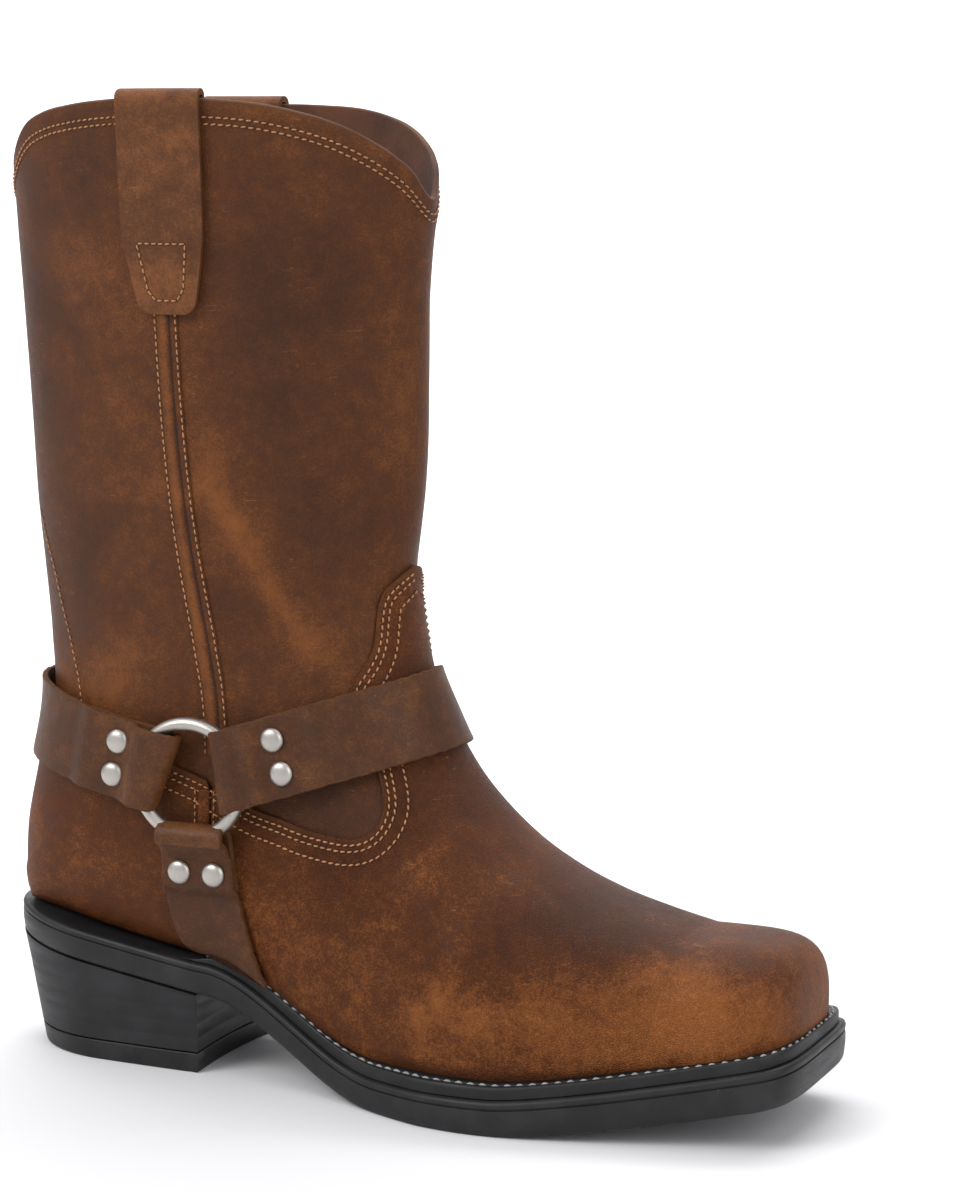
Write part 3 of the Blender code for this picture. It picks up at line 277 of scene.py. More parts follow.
def upper_loop(row, angle, narrow=1.0, low=1.0, back_share=None):
    columns = []
    for column in UPPER_SECTIONS.T:
        straight = np.interp(row, ROW_NUMBERS, column)
        columns.append(np.where(row > LAST_CURVED, straight, smooth(ROW_NUMBERS, column, row)))
    back, back_rise, front, front_rise, lateral, medial, widest, low_square, high_square = columns
    if back_share is not None:
        back = front = back_share
    bottom_x = along(back)
    bottom_z = np.maximum(outsole_top(bottom_x) + 1.5 * GAP, height(back_rise))
    top_x = along(front)
    top_z = bottom_z + (height(front_rise) - bottom_z) * low
    width = BALL_WIDTH + (SHAFT_WIDTH - BALL_WIDTH) * ease(front_rise - 1.0)
    cosine = np.cos(angle)
    sine = np.abs(np.sin(angle))
    below = cosine > 0
    square = np.where(below, low_square, high_square)
    reach = np.abs(cosine) ** (2 / square)
    up = np.where(below, widest - widest * reach, widest + (1 - widest) * reach)
    side = np.where(np.sin(angle) > 0, -lateral, medial) * width * narrow
    x = bottom_x + (top_x - bottom_x) * up
    z = bottom_z + (top_z - bottom_z) * up
    return np.stack([x, side * sine ** (2 / square), z], axis=-1)


# %% [markdown]
# The square ends of a superellipse need their points packed close to the corners before the loop is
# cut into equal lengths. Each side is cut by itself, which keeps one line of points on the middle
# of the front and one on the middle of the back.

# %% Even loops, from the toe to the collar
AROUND = 192
HALF = AROUND // 2
RIM_ROUND = 0.0007
crowded = np.linspace(0.0, 1.0, 140)
quarter = math.pi / 2 * crowded**3 / (crowded**3 + (1 - crowded) ** 3)
half_turn = np.concatenate([quarter, math.pi - quarter[-2::-1]])


def cut_evenly(points, count):
    steps = lengths(points)
    wanted = np.linspace(0.0, steps[-1], count)
    return np.stack([np.interp(wanted, steps, points[:, k]) for k in range(3)], axis=-1)


def even_loop(row_of, **closing):
    lateral = cut_evenly(upper_loop(row_of(half_turn), half_turn, **closing), HALF + 1)
    medial = cut_evenly(upper_loop(row_of(-half_turn), -half_turn, **closing), HALF + 1)
    return np.concatenate([lateral, medial[-2:0:-1]])


def collar_rows(angles):
    low = np.full(len(angles), LAST_TILTED - 1.5)
    high = np.full(len(angles), len(UPPER_SECTIONS) - 1.0)
    for _ in range(40):
        middle = (low + high) / 2
        points = upper_loop(middle, angles)
        below = points[:, 2] < collar_height(points[:, 0]) - RIM_ROUND
        low = np.where(below, middle, low)
        high = np.where(below, high, middle)
    return (low + high) / 2


loops = []
for turn in np.interp(np.linspace(0.03, 1.0, 40, endpoint=False), crowded, quarter):
    forward = math.cos(turn) ** (2 / TOE_SIDE_ROUNDNESS)
    loops.append(even_loop(
        lambda a: np.zeros(len(a)), low=math.sin(turn) ** (2 / TOE_SIDE_ROUNDNESS),
        narrow=rounding(forward, TOE_PLAN_ROUNDNESS),
        back_share=UPPER_SECTIONS[0, 0] + (TOE_TIP - UPPER_SECTIONS[0, 0]) * forward,
    ))
for row in np.linspace(0, LAST_TILTED, 157):
    loops.append(even_loop(lambda a: np.full(len(a), row)))
for share in np.linspace(0.0, 1.0, 18)[1:]:
    loops.append(even_loop(lambda a: LAST_TILTED + (collar_rows(a) - LAST_TILTED) * share))
loops = np.array(loops)
print("upper", loops.shape[0], "loops of", loops.shape[1], "points")

# %% [markdown]
# ## Creases and the pull-up ridge
# Leather that has been pulled over a last is never quite even. Noise would make it look dented all
# over, so each trough and ridge is listed one by one: a line on the boot's side, in shares of its
# length and instep height, with a width and a depth. A bell curve across the line keeps it soft.

# %% Place the creases
LATERAL_RIDGE = ((0.285, 1.53), (0.330, 1.356), (0.367, 1.215), (0.405, 1.086), (0.452, 0.97))
MEDIAL_RIDGE = ((0.250, 1.46), (0.320, 1.27), (0.390, 1.12), (0.445, 1.02))
CREASES = (
    # sides, width, height, and points as (along, rise)
    ("lateral", 0.0050, 0.00055, LATERAL_RIDGE),
    ("lateral", 0.0090, -0.00050, ((0.335, 1.56), (0.375, 1.40), (0.420, 1.25), (0.455, 1.12))),
    ("lateral", 0.0080, -0.00035, ((0.270, 1.40), (0.310, 1.24), (0.350, 1.10), (0.390, 0.99))),
    ("medial", 0.0060, 0.00045, MEDIAL_RIDGE),
    ("medial", 0.0090, -0.00045, ((0.300, 1.50), (0.360, 1.34), (0.430, 1.18))),
    ("both", 0.0060, -0.00050, ((0.055, 1.10), (0.110, 1.04), (0.180, 1.05))),
    ("both", 0.0050, -0.00030, ((0.070, 0.98), (0.120, 0.96), (0.170, 0.985))),
    ("both", 0.0160, -0.00060, ((0.115, 2.20), (0.125, 1.85), (0.150, 1.50))),
    ("both", 0.0150, 0.00050, ((0.400, 2.15), (0.395, 1.85), (0.375, 1.60))),
    ("both", 0.0065, -0.00035, ((0.640, 0.60), (0.610, 0.45), (0.570, 0.30))),
    ("both", 0.0065, -0.00030, ((0.700, 0.53), (0.675, 0.38), (0.640, 0.26))),
    ("both", 0.0080, 0.00030, ((0.675, 0.56), (0.645, 0.42), (0.605, 0.28))),
)


def side_view(table):
    """Points in metres of a line seen from the side, from shares of length and instep height."""
    table = np.asarray(table, float)
    return np.stack([along(table[:, 0]), table[:, 1] * INSTEP_HEIGHT], axis=-1)


def through(points, count):
    """A smooth line through a few points."""
    points = np.asarray(points, float)
    steps = lengths(points)
    at = np.linspace(0.0, steps[-1], count)
    return np.stack([smooth(steps, points[:, k], at) for k in range(points.shape[1])], axis=-1)


def to_line(places, line):
    """Distance of many places from a line, and how far along it the nearest point lies, 0 to 1."""
    best = np.full(len(places), 1e9)
    where = np.zeros(len(places))
    for k, (a, b) in enumerate(zip(line[:-1], line[1:])):
        edge = b - a
        t = np.clip(((places - a) @ edge) / (edge @ edge), 0.0, 1.0)
        away = np.linalg.norm(places - a - t[:, None] * edge, axis=1)
        nearer = away < best
        best = np.where(nearer, away, best)
        where = np.where(nearer, (k + t) / (len(line) - 1), where)
    return best, where


def creased(points, normals):
    """Points moved along their normals by all the creases near them."""
    moved = np.zeros(len(points))
    for sides, width, rise, table in CREASES:
        away, where = to_line(points[:, [0, 2]], through(side_view(table), 12))
        ends = ease(where / 0.3) * ease((1 - where) / 0.3)
        bell = np.exp(-((away / width) ** 2)) * ends * rise
        if sides != "both":
            bell = bell * ease(0.5 + points[:, 1] / 0.012 * (-1 if sides == "lateral" else 1))
        moved += bell
    return points + normals * moved[:, None]


# %% [markdown]
# ## One surface that everything lies on
# The upper's outer surface is kept as a form: points, faces, smooth normals, and a search tree that
# says where a line from inside meets it. The vamp, straps, seams and every stitch ask this form for
# their place, so they follow its creases too.

# %% Form of the upper
def ring_faces(count, around):
    faces = [list(reversed(range(around)))]
    for ring in range(count - 1):
        for k in range(around):
            following = (k + 1) % around
            low = ring * around
            faces.append([low + k, low + following, low + around + following, low + around + k])
    return faces


def flipped(faces):
    """The same faces, looking the other way."""
    return [face[::-1] for face in faces]


def capped_faces(count, around):
    """Faces of a stack of rings, closed at both ends."""
    return ring_faces(count, around) + [[(count - 1) * around + k for k in range(around)]]


def vertex_normals(points, faces):
    mesh = bpy.data.meshes.new("guide")
    mesh.from_pydata(points.tolist(), [], faces)
    normals = np.empty(len(points) * 3)
    mesh.vertex_normals.foreach_get("vector", normals)
    bpy.data.meshes.remove(mesh)
    return normals.reshape(-1, 3)


class Form:
    """A surface that can be asked for places and normals on it."""

    def __init__(self, points, faces, normals, lift=0.0):
        self.points = points + normals * lift
        self.faces = faces
        self.normals = normals
        self.tree = BVHTree.FromPolygons(self.points.tolist(), faces)

    def raised(self, lift):
        return Form(self.points, self.faces, self.normals, lift)

    def normal_at(self, face, place):
        corners = self.faces[face]
        weight = 1 / (np.linalg.norm(self.points[corners] - place, axis=1) + 1e-5)
        return unit((self.normals[corners] * weight[:, None]).sum(axis=0))

    def meet(self, origin, direction):
        hit, _, face, _ = self.tree.ray_cast(Vector(origin), Vector(direction))
        if hit is None:
            hit, _, face, _ = self.tree.find_nearest(Vector(origin))
        hit = np.array(hit)
        return hit, self.normal_at(face, hit)

    def nearest(self, place):
        hit, _, face, _ = self.tree.find_nearest(Vector(place))
        hit = np.array(hit)
        return hit, self.normal_at(face, hit)

    def drop(self, x, z, side):
        """Place on one side of the boot, from where it is seen from the side."""
        return self.meet((x, 0.0, z), (0.0, side, 0.0))


grid = loops.reshape(-1, 3)
grid_faces = ring_faces(loops.shape[0], AROUND)
grid_normals = vertex_normals(grid, grid_faces)
grid = creased(grid, grid_normals)
grid_normals = vertex_normals(grid, grid_faces)
skin = Form(grid, grid_faces, grid_normals)
over_skin = skin.raised(1.5 * GAP + OVERLAY)
strap_guide = skin.raised(OVERLAY + 3.5 * GAP)
print("form", len(grid), "points")

# %% [markdown]
# ## Shader maths as plain Python
# A material is a graph of nodes, and a graph is tedious to write by hand. Here a small class wraps
# one socket, and Python's own operators add Math nodes to it: `1 - mask` or `grain * 0.4`. Colours
# go through Mix nodes, because a Math node would turn them grey.

# %% A socket with operators
class Value:
    def __init__(self, shader, socket):
        self.shader = shader
        self.socket = socket

    def maths(self, operation, other=None, swapped=False):
        values = [self, other] if other is not None else [self]
        if swapped:
            values.reverse()
        return self.shader.node("ShaderNodeMath", {"operation": operation}, dict(enumerate(values)))

    def __add__(self, other):
        return self.maths("ADD", other)

    def __sub__(self, other):
        return self.maths("SUBTRACT", other)

    def __rsub__(self, other):
        return self.maths("SUBTRACT", other, swapped=True)

    def __mul__(self, other):
        return self.maths("MULTIPLY", other)

    __radd__ = __add__
    __rmul__ = __mul__

    def between(self, low, high):
        """0 below low, 1 above high, and smooth in between."""
        settings = {"interpolation_type": "SMOOTHSTEP"}
        return self.shader.node("ShaderNodeMapRange", settings, {0: self, 1: low, 2: high})


# %% A material as a small drawing board
class Shader:
    def __init__(self, name, roughness=0.6, metallic=0.0, **constants):
        self.material = bpy.data.materials.new(name)
        self.material.use_nodes = True
        self.tree = self.material.node_tree
        self.surface = self.tree.nodes["Principled BSDF"]
        self.surface.inputs["Roughness"].default_value = roughness
        self.surface.inputs["Metallic"].default_value = metallic
        for key, value in constants.items():
            self.surface.inputs[key.replace("_", " ")].default_value = value
        self.place = Value(self, self.tree.nodes.new("ShaderNodeTexCoord").outputs["Object"])

    def put(self, socket, value):
        if isinstance(value, Value):
            self.tree.links.new(value.socket, socket)
        elif isinstance(value, tuple) and len(value) == 3 and socket.type == "RGBA":
            socket.default_value = (*value, 1.0)
        else:
            socket.default_value = value

    def node(self, kind, settings=None, inputs=None, output=0):
        made = self.tree.nodes.new(kind)
        for key, value in (settings or {}).items():
            if key == "ramp":
                elements = made.color_ramp.elements
                while len(elements) < len(value):
                    elements.new(0.5)
                for element, (position, colour) in zip(elements, value):
                    element.position = position
                    element.color = (*colour, 1.0)
            else:
                setattr(made, key, value)
        for key, value in (inputs or {}).items():
            self.put(made.inputs[key], value)
        return Value(self, made.outputs[output])

    def moved(self, scale, turn=(0.0, 0.0, 0.0)):
        inputs = {"Vector": self.place, "Rotation": turn, "Scale": scale}
        return self.node("ShaderNodeMapping", None, inputs)

    def noise(self, scale, detail=3.0, roughness=0.5, place=None, distortion=0.0):
        inputs = {"Vector": place or self.place, "Scale": scale, "Detail": detail}
        inputs.update({"Roughness": roughness, "Distortion": distortion})
        return self.node("ShaderNodeTexNoise", None, inputs)

    def cells(self, scale, feature="F1", place=None):
        inputs = {"Vector": place or self.place, "Scale": scale}
        return self.node("ShaderNodeTexVoronoi", {"feature": feature}, inputs)

    def attribute(self, name):
        return self.node("ShaderNodeAttribute", {"attribute_name": name}, None, output=2)

    def mix(self, share, first, second):
        made = self.tree.nodes.new("ShaderNodeMix")
        made.data_type = "RGBA"
        for socket, value in zip((made.inputs[0], made.inputs[6], made.inputs[7]), (share, first, second)):
            self.put(socket, value)
        return Value(self, made.outputs[2])

    def bump(self, levels, distance=0.0003, strength=0.5):
        inputs = {"Height": levels, "Distance": distance, "Strength": strength}
        return self.node("ShaderNodeBump", None, inputs)

    def finish(self, colour=None, roughness=None, normal=None, coat=None):
        for key, value in (("Base Color", colour), ("Roughness", roughness), ("Normal", normal)):
            if value is not None:
                self.put(self.surface.inputs[key], value)
        if coat is not None:
            self.put(self.surface.inputs["Coat Weight"], coat)
        return self.material


# %% [markdown]
# ## Oiled leather
# Waxed pull-up leather is dark where its oils rest and glows orange where bending has driven them
# away. Three layers make it: large soft clouds between two browns, small mottling, and fine pale
# scratches. Grain is a bump of tiny cells, stronger towards the toe. Wear, dark patches, painted
# shade and painted highlights come from numbers stored on the mesh, because they follow the boot's
# form, which noise can't know.

# %% Leather material
def leather(name, dark, middle, light, grain=1.0, roughness=0.56, gloss=0.10, cloud_scale=16.0):
    m = Shader(name, roughness=roughness, Specular_IOR_Level=0.14, Coat_Roughness=0.35)
    cloud = m.noise(cloud_scale, 4.0, 0.55, distortion=0.6).between(0.36, 0.66)
    patch = m.noise(cloud_scale * 3.4, 5.0, 0.62).between(0.38, 0.68)
    mottle = m.noise(240.0, 4.0, 0.7).between(0.30, 0.72)
    speck = m.noise(1300.0, 2.0, 0.6).between(0.42, 0.62)
    tone = 0.17 + cloud * 0.16 + patch * 0.17 + mottle * 0.19 + speck * 0.15
    # the light and dark numbers hold wear and pull-up, and also painted highlight and painted shade
    tone = (tone + m.attribute("light") * 0.52 - m.attribute("dark") * 0.46).between(-0.10, 1.10)
    ramp = ((0.0, dark), (0.48, middle), (1.0, light))
    colour = m.node("ShaderNodeValToRGB", {"ramp": ramp}, {0: tone})
    lines = m.noise(30.0, 3.0, 0.6, place=m.moved((1.0, 1.0, 7.0), (0.5, 0.4, 0.2)))
    scratch = (1 - (lines - 0.5).maths("ABSOLUTE").between(0.0, 0.006)) * patch.between(0.45, 0.90)
    colour = m.mix(scratch * 0.42, colour, tuple(min(1.0, 1.5 * v + 0.03) for v in light))
    dust = m.cells(120.0).between(0.020, 0.008)
    colour = m.mix(dust * 0.5, colour, (0.55, 0.40, 0.28))
    edge = m.attribute("edge")
    raw = m.mix(m.noise(900.0, 3.0), (0.045, 0.018, 0.008), (0.180, 0.074, 0.027))
    colour = m.mix(edge * 0.85, colour, raw)
    rough = roughness + (1 - tone) * -0.07 + mottle * 0.08 + edge * 0.2
    pores = m.cells(980.0, "DISTANCE_TO_EDGE", place=m.moved((1.0, 1.0, 1.35), (0.3, 0.2, 0.1)))
    fine = m.noise(2600.0, 3.0, 0.6)
    relief = pores.between(0.0, 0.28) * 0.5 * (m.attribute("grain") * 1.6 + 0.45) + fine * 0.45
    relief = relief + edge * m.noise(1500.0, 4.0, 0.8) * 1.6 + scratch * -0.5
    normal = m.bump(relief + m.noise(45.0, 2.0) * 1.2, 0.00048 * grain, 0.85)
    return m.finish(colour, rough, normal, coat=gloss * (1 - edge) * (1 - mottle * 0.5))


shaft_leather = leather(
    "shaft_leather", (0.036, 0.0120, 0.0045), (0.084, 0.0260, 0.0066), (0.190, 0.062, 0.0145),
)
vamp_leather = leather(
    "vamp_leather", (0.036, 0.0095, 0.0018), (0.088, 0.0240, 0.0044), (0.270, 0.088, 0.0210),
    grain=1.5, roughness=0.58, gloss=0.05, cloud_scale=13.0,
)
strap_leather = leather(
    "strap_leather", (0.030, 0.0105, 0.0040), (0.068, 0.0235, 0.0075), (0.150, 0.057, 0.018),
    grain=0.8, roughness=0.50, gloss=0.16, cloud_scale=26.0,
)
pull_leather = leather(
    "pull_leather", (0.045, 0.0165, 0.0070), (0.100, 0.0350, 0.0115), (0.215, 0.078, 0.024), cloud_scale=30.0,
)

# %% [markdown]
# The inside of the shaft is the flesh side of the same hide: suede, with no gloss and a soft nap
# that catches light at grazing angles. Sheen gives that. The cut collar shows fibres, so its
# material is a rougher, streaked brown.

# %% Lining, cut edge and insole
def nap(name, dark, light, roughness, sheen):
    m = Shader(name, roughness=roughness, Sheen_Weight=sheen, Sheen_Roughness=0.5)
    hair = m.noise(1700.0, 5.0, 0.75)
    colour = m.mix(m.noise(60.0, 4.0).between(0.3, 0.7) * 0.6 + hair * 0.4, dark, light)
    return m.finish(colour, None, m.bump(hair + m.noise(380.0, 3.0) * 0.8, 0.0005, 0.8))


lining_suede = nap("lining_suede", (0.050, 0.0155, 0.0055), (0.120, 0.038, 0.0130), 0.95, 0.10)
cut_edge = nap("cut_edge", (0.040, 0.016, 0.0070), (0.160, 0.062, 0.0230), 0.88, 0.10)
insole_leather = nap("insole_leather", (0.230, 0.135, 0.070), (0.360, 0.225, 0.125), 0.75, 0.10)

# %% [markdown]
# Rubber, the dressed heel and the welt are all black, and differ by gloss: the welt is waxed, the
# heel has faint bands where its layers were sanded, and the sole is satin with a little dust.
# Nickel gets the fine brushed streaks of tumbling. Thread gets a twist from a fine wave: a bump, and painted
# shade and highlight across the plies in its colour.

# %% Black parts, metal and thread
def black(name, base, roughness, bands=0.0, dust=0.25):
    m = Shader(name, roughness=roughness, Specular_IOR_Level=0.30)
    streak = m.noise(420.0, 4.0, 0.7, place=m.moved((0.12, 0.12, 1.0)))
    cloud = m.noise(55.0, 4.0, 0.6)
    layer = m.noise(230.0, 2.0, 0.5, place=m.moved((0.02, 0.02, 1.0)))
    colour = m.mix(cloud.between(0.35, 0.75) * 0.7 + streak * 0.3, base, tuple(2.3 * v + 0.006 for v in base))
    specks = m.cells(95.0).between(0.024, 0.012)
    colour = m.mix(specks * dust, colour, (0.50, 0.48, 0.46))
    rough = roughness + streak.between(0.3, 0.8) * 0.16 + cloud * 0.08
    normal = m.bump(streak * 0.5 + layer * bands + m.noise(1500.0, 2.0) * 0.3, 0.00025, 0.6)
    return m.finish(colour, rough, normal)


sole_rubber = black("sole_rubber", (0.0070, 0.0070, 0.0073), 0.38)
heel_black = black("heel_black", (0.0065, 0.0065, 0.0070), 0.42, bands=0.4)
welt_black = black("welt_black", (0.0060, 0.0058, 0.0058), 0.42, dust=0.1)


def metal(name):
    m = Shader(name, roughness=0.30, metallic=1.0)
    streak = m.noise(700.0, 3.0, 0.6, place=m.moved((1.0, 1.0, 0.15)))
    colour = m.mix(m.noise(90.0, 3.0), (0.40, 0.372, 0.335), (0.52, 0.49, 0.45))
    return m.finish(colour, 0.33 + streak * 0.14, m.bump(streak, 0.00008, 0.35))


def yarn(name, dark, light, roughness=0.62):
    m = Shader(name, roughness=roughness)
    twist = m.node("ShaderNodeTexWave", {"bands_direction": "DIAGONAL"}, {"Vector": m.place, "Scale": 520.0})
    # the twist wave in the colour is painted shade and highlight on the plies
    colour = m.mix(m.noise(240.0, 2.0) * 0.7 + twist * 0.3, dark, light)
    return m.finish(colour, None, m.bump(twist, 0.0001, 0.6))


def plain_dark(name, colour):
    m = Shader(name, roughness=0.9)
    return m.finish(m.mix(m.noise(500.0, 2.0), colour, tuple(2.0 * v for v in colour)))


satin_nickel = metal("satin_nickel")
tan_thread = yarn("tan_thread", (0.24, 0.098, 0.034), (0.52, 0.245, 0.100))
pale_thread = yarn("pale_thread", (0.16, 0.16, 0.16), (0.42, 0.42, 0.41))
# dark discs of painted shade at the needle holes
painted_hole_shade = plain_dark("painted_hole_shade", (0.010, 0.004, 0.002))

# %% [markdown]
# ## Making a piece
# Each piece is a mesh from arrays of points and faces. It rides on the boot's one body, stands for
# its coarse twin and takes its materials. Numbers such as wear and painted shade are stored per
# point, and a piece that has none gets them as 0 from the shader.

# %% Mesh, attributes and its place on the body
TRIANGLES = {}


def piece(name, points, faces, looks, replaces=(), slot=None, values=None, face_looks=None, sharp=40.0):
    mesh = bpy.data.meshes.new(name)
    mesh.from_pydata(np.asarray(points, float).tolist(), [], faces)
    for look in looks if isinstance(looks, (list, tuple)) else [looks]:
        mesh.materials.append(look)
    if face_looks is not None:
        mesh.polygons.foreach_set("material_index", np.asarray(face_looks, np.int32))
    for key, numbers in (values or {}).items():
        layer = mesh.attributes.new(key, "FLOAT", "POINT")
        layer.data.foreach_set("value", np.asarray(numbers, np.float32))
    mesh.shade_smooth()
    if sharp:
        mesh.set_sharp_from_angle(angle=math.radians(sharp))
    made = bpy.data.objects.new(name + "_fine", mesh)
    bpy.context.scene.collection.objects.link(made)
    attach(made, "root")
    if replaces:
        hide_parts(*replaces)
    TRIANGLES[name] = sum(len(face) - 2 for face in faces)
    return made


# %% [markdown]
# ## A sheet with a wall and a rounded edge
# Solidify would give a sheet its wall, but a cut edge of leather is rounded, and a Bevel on
# thousands of short edges is fragile. So the rim is built by hand: from each point on the border,
# a small arc leads outwards and down to the other side, and quads join it to its neighbour's.

# %% Rim of a sheet
def walled(points, normals, faces, thickness, radius, look_inside=0, look_rim=0):
    """A closed solid from an open sheet. Returns points, faces, looks and the share of edge."""
    steps = dict.fromkeys((a, b) for face in faces for a, b in zip(face, face[1:] + face[:1]))
    border = [(a, b) for a, b in steps if (b, a) not in steps]
    ends = sorted({k for pair in border for k in pair})
    order = {k: n for n, k in enumerate(ends)}
    tangent = np.zeros((len(ends), 3))
    for a, b in border:
        step = points[b] - points[a]
        step = step / (np.linalg.norm(step) + 1e-12)
        tangent[order[a]] += step
        tangent[order[b]] += step
    out = np.cross(tangent, normals[ends])
    out /= np.linalg.norm(out, axis=1)[:, None] + 1e-12
    arc = [(radius * math.sin(t), radius * (1 - math.cos(t))) for t in np.radians((30, 60, 90))]
    arc = arc + [(o, thickness - d) for o, d in reversed(arc)]
    count = len(points)
    everything = [points, points - normals * thickness]
    for outwards, down in arc:
        everything.append(points[ends] + out * outwards - normals[ends] * down)
    made = [list(face) for face in faces] + [[count + k for k in reversed(face)] for face in faces]
    looks = [0] * len(faces) + [look_inside] * len(faces)
    first = 2 * count
    rows = [lambda k: k] + [lambda k, r=r: first + r * len(ends) + order[k] for r in range(len(arc))]
    rows.append(lambda k: count + k)
    for a, b in border:
        for high, low in zip(rows[:-1], rows[1:]):
            made.append([high(b), high(a), low(a), low(b)])
            looks.append(look_rim)
    share = np.concatenate([np.zeros(2 * count), np.ones(len(arc) * len(ends))])
    share[ends] = 0.5
    return np.concatenate(everything), made, looks, share


# %% [markdown]
# ## Wear and painted light
# The photograph's boot is not one brown. There are darker patches on the lower shaft and at the top,
# a painted shadow just under the front strap, a pale orange ridge that runs down to the instep, painted
# shade along the top of the vamp and toe with a painted highlight on their sides, and a line of painted
# shade where the upper meets the welt. Each is one soft blot or line: a place on the side, a size and
# a strength.

# %% Blots of wear and painted light
BLOTS = (
    # what, side, along, rise, reach along, reach up, strength
    ("dark", "both", 0.400, 1.52, 0.090, 0.36, 0.36),
    ("dark", "both", 0.385, 1.95, 0.075, 0.26, 0.30),
    ("dark", "both", 0.140, 2.16, 0.100, 0.12, 0.35),
    ("dark", "lateral", 0.335, 1.10, 0.060, 0.14, 0.35),
    ("dark", "both", 0.110, 1.22, 0.060, 0.20, 0.35),
    # painted shadow just under the front strap: this row and the next
    ("dark", "both", 0.420, 0.72, 0.080, 0.14, 0.65),
    ("dark", "both", 0.560, 0.78, 0.080, 0.16, 0.35),
    # painted shade along the top of the vamp and toe: this row and the next
    ("dark", "both", 0.730, 0.47, 0.140, 0.08, 0.50),
    ("dark", "both", 0.930, 0.41, 0.030, 0.06, 0.35),
    ("dark", "both", 0.250, 0.30, 0.040, 0.10, 0.20),
    ("light", "both", 0.170, 0.92, 0.070, 0.16, 0.25),
    ("dark", "both", 0.060, 1.75, 0.070, 0.45, 0.48),
    ("light", "both", 0.330, 1.42, 0.060, 0.16, 0.16),
    ("light", "both", 0.230, 1.80, 0.060, 0.22, 0.16),
    ("light", "both", 0.500, 1.62, 0.030, 0.40, 0.30),
    # painted highlight on the sides of the vamp and toe: this row and the next
    ("light", "both", 0.780, 0.25, 0.130, 0.09, 0.50),
    ("light", "both", 0.890, 0.30, 0.070, 0.11, 0.80),
    ("light", "both", 0.500, 0.46, 0.050, 0.10, 0.18),
    ("light", "lateral", 0.617, 0.292, 0.018, 0.040, 0.42),
    ("light", "lateral", 0.585, 0.245, 0.012, 0.030, 0.30),
    ("light", "both", 0.110, 0.50, 0.080, 0.12, 0.22),
    ("light", "both", 0.330, 0.43, 0.050, 0.10, 0.20),
    ("grain", "both", 0.800, 0.30, 0.140, 0.20, 1.00),
    ("grain", "both", 0.480, 0.50, 0.140, 0.25, 0.35),
)
RIDGES = (
    # what, side, width, strength, and points as (along, rise)
    ("light", "lateral", 0.0055, 0.75, LATERAL_RIDGE),
    ("light", "medial", 0.0060, 0.55, MEDIAL_RIDGE),
    # painted shade along the joint of the upper and the welt: the two dark lines below
    ("dark", "both", 0.0030, 0.55, ((0.275, 0.330), (0.340, 0.262), (0.400, 0.195), (0.470, 0.150))),
    ("dark", "both", 0.0025, 0.55, ((0.480, 0.148), (0.620, 0.118), (0.760, 0.133), (0.900, 0.170))),
)


def wear_and_painted_light(points):
    """How dark, light and grainy the leather is at each point, painted shade and highlight included."""
    values = {"dark": np.zeros(len(points)), "light": np.zeros(len(points)), "grain": np.zeros(len(points))}
    shares = {"both": 1.0}
    shares["lateral"] = ease(0.5 - points[:, 1] / 0.010)
    shares["medial"] = 1 - shares["lateral"]
    for what, side, share, rise, reach, up, strength in BLOTS:
        far = ((points[:, 0] - along(share)) / (reach * LENGTH)) ** 2
        far = far + ((points[:, 2] / INSTEP_HEIGHT - rise) / up) ** 2
        values[what] += strength * np.exp(-far) * shares[side]
    for what, side, width, strength, table in RIDGES:
        away, where = to_line(points[:, [0, 2]], through(side_view(table), 12))
        ends = ease(where / 0.25) * ease((1 - where) / 0.25)
        values[what] += strength * np.exp(-((away / width) ** 2)) * ends * shares[side]
    return values


# %% The upper, open underneath inside a turned-in edge
LASTING_WIDTH = 0.0145
lateral_room, medial_room = sole_half_widths((from_back(grid[:, 0]) / LENGTH).clip(0.0, 1.0))
inside_opening = (grid[:, 1] > LASTING_WIDTH - lateral_room) & (grid[:, 1] < medial_room - LASTING_WIDTH)
inside_opening &= grid[:, 2] < outsole_top(grid[:, 0]) + GAP + WALL
inside_opening &= (grid[:, 0] > along(0.0) + LASTING_WIDTH) & (grid[:, 0] < along(1.0) - LASTING_WIDTH)
kept = [face for face in grid_faces if not all(inside_opening[k] for k in face)]
used = np.unique(np.concatenate([np.array(face) for face in kept]))
renamed = np.full(len(grid), -1)
renamed[used] = np.arange(len(used))
kept = [[int(renamed[k]) for k in face] for face in kept]
points, faces, looks, edge = walled(grid[used], grid_normals[used], kept, WALL, RIM_ROUND, 1, 2)
marks_and_painted_light = wear_and_painted_light(points)
marks_and_painted_light["edge"] = edge
marks_and_painted_light["grain"] *= 0.3
skins = [shaft_leather, lining_suede, cut_edge]
piece("upper", points, faces, skins, ["upper"], "shaft_leather", marks_and_painted_light, looks)
print("upper", TRIANGLES["upper"], "triangles")

# %% [markdown]
# ## Vamp and counter
# These are flat pieces of leather cut by a knife and sewn over the upper. Their outline is a line
# seen from the side. A Boolean with a block of that outline would work, but leaves long thin faces.
# Here each face of the raised form is kept, dropped or cut where the distance to the outline
# changes its sign, which gives a clean edge that follows the curve.

# %% Cut a form along an outline
def inside_distance(places, outline):
    """Distance of places from a closed outline, positive inside."""
    closed = np.concatenate([outline, outline[:1]])
    away = np.full(len(places), 1e9)
    inside = np.zeros(len(places), bool)
    for a, b in zip(closed[:-1], closed[1:]):
        edge = b - a
        t = np.clip(((places - a) @ edge) / (edge @ edge + 1e-18), 0.0, 1.0)
        away = np.minimum(away, np.linalg.norm(places - a - t[:, None] * edge, axis=1))
        crosses = (a[1] > places[:, 1]) != (b[1] > places[:, 1])
        if edge[1] != 0:
            inside ^= crosses & (places[:, 0] < a[0] + (places[:, 1] - a[1]) * edge[0] / edge[1])
    return np.where(inside, away, -away)


